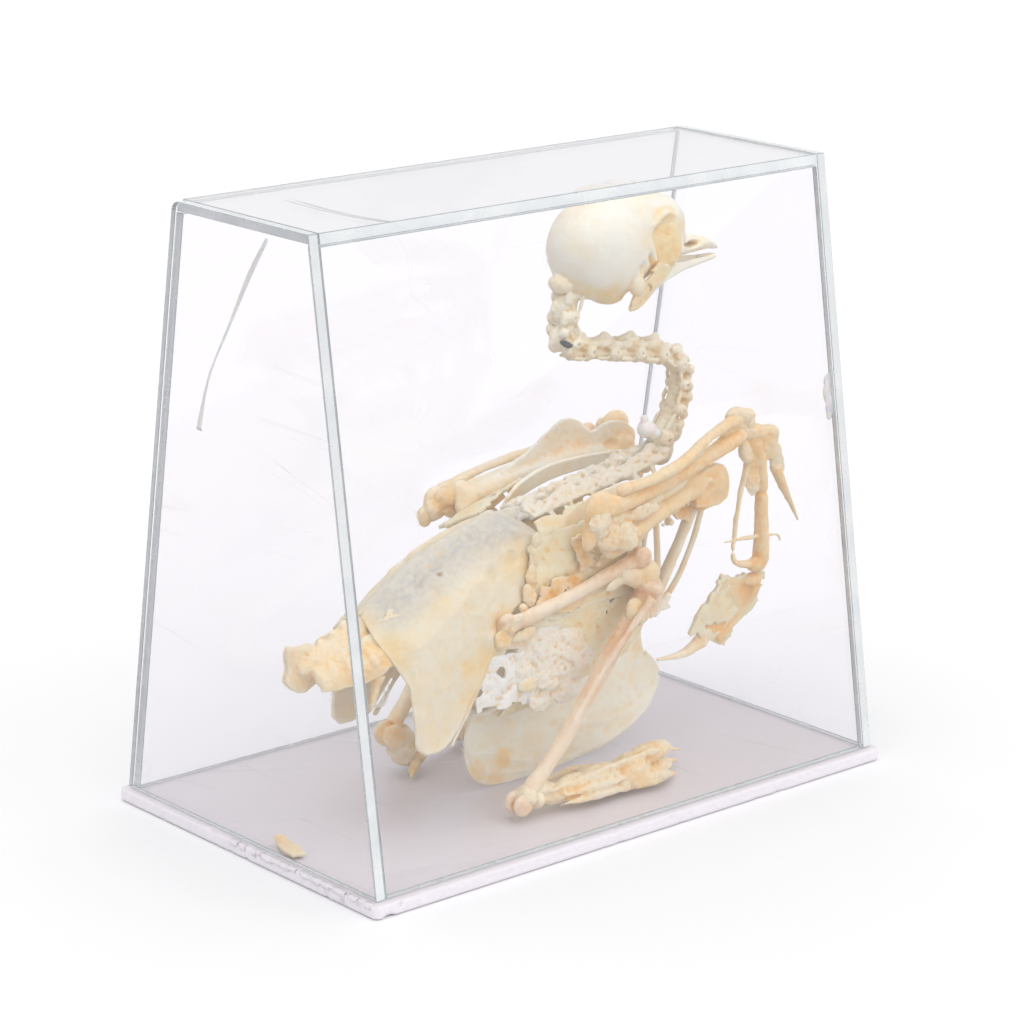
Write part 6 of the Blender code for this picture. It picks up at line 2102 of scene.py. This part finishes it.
WIRE_END = [
    (4.6, -11, 103.4, 0.35), (5.8, -11.4, 102.7, 0.75), (7, -11.4, 102.2, 0.6), (8.2, -11, 102, 0.25),
]
wire_line = bmesh.new()
shaft(wire_line, WIRE_END, 0.4, 12)
wire_end = object_from(wire_line, "end_of_neck_wire")
steel, steel_tree, steel_shader = new_material("dark_wire")
dull = worn(steel_tree, 1500)["Cloud"]
finished(steel_tree, steel_shader, tinted(steel_tree, dull, (0.05, 0.05, 0.055, 1), (0.16, 0.15, 0.15, 1)))
steel_shader.inputs["Metallic"].default_value = 0.9
steel_shader.inputs["Roughness"].default_value = 0.35
shaded(wire_end, steel)
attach(wire_end, "root")

# The stage
# A pale table top that runs out of sight, soft lamps all round as in a light tent, and the
# camera in the place that the picture was taken from.

FLOOR_HALF = 2.5
FLOOR_DROP = 0.2  # keeps the table clear of the board's underside
floor_bm = bmesh.new()
bmesh.ops.create_grid(floor_bm, x_segments=8, y_segments=8, size=FLOOR_HALF)
floor = object_from(floor_bm, "table_top")
floor.location.z = -FLOOR_DROP * MM
floor_material, floor_tree, floor_shader = new_material("pale_paper")
paper = worn(floor_tree, 6)["Cloud"]
finished(floor_tree, floor_shader, tinted(floor_tree, paper, (0.865, 0.86, 0.87, 1), (0.89, 0.885, 0.895, 1)))
floor_shader.inputs["Roughness"].default_value = 0.9
shaded(floor, floor_material)


def soft_light(name, toward, spread, power):
    """A broad, far light that falls the same on the whole table."""
    data = bpy.data.lights.new(name, "SUN")
    data.angle = math.radians(spread)
    data.energy = power
    lamp = linked(name, data)
    lamp.rotation_euler = Vector(toward).to_track_quat("-Z", "Y").to_euler()
    return lamp


soft_light("light_above", toward=(0.25, 0.2, -1), spread=70, power=0.95)
light_right = soft_light("light_right", toward=(-0.45, 0.9, -0.5), spread=60, power=0.52)
light_right.visible_glossy = False  # no glare on the lid in views from the other side
world = bpy.data.worlds.new("light_tent")
bpy.context.scene.world = world
world.use_nodes = True
world.node_tree.nodes["Background"].inputs["Color"].default_value = (1, 1, 1, 1)
world.node_tree.nodes["Background"].inputs["Strength"].default_value = 0.84

AZIMUTH = -0.7179173  # radians, as are the next two
ELEVATION = 0.2813219
ROLL = 0.0078075
EYE = Vector((-0.5029814, -0.5771650, 0.2832530 + BOARD_THICK * MM))
LENS = 122.42
camera_data = bpy.data.cameras.new("picture_camera")
camera_data.lens = LENS
camera_data.sensor_width = 36
camera_data.sensor_fit = "HORIZONTAL"
camera_data.clip_start = 0.02
camera_data.clip_end = 20
camera = linked("picture_camera", camera_data)
level = math.cos(ELEVATION)
behind = Vector((math.sin(AZIMUTH) * level, -math.cos(AZIMUTH) * level, math.sin(ELEVATION)))
rightward = Vector((math.cos(AZIMUTH), math.sin(AZIMUTH), 0))
upward = behind.cross(rightward)
x_axis = rightward * math.cos(ROLL) + upward * math.sin(ROLL)
y_axis = upward * math.cos(ROLL) - rightward * math.sin(ROLL)
camera.matrix_world = Matrix.Translation(EYE) @ Matrix((x_axis, y_axis, behind)).transposed().to_4x4()
bpy.context.scene.camera = camera
bpy.context.scene.view_settings.view_transform = "Standard"
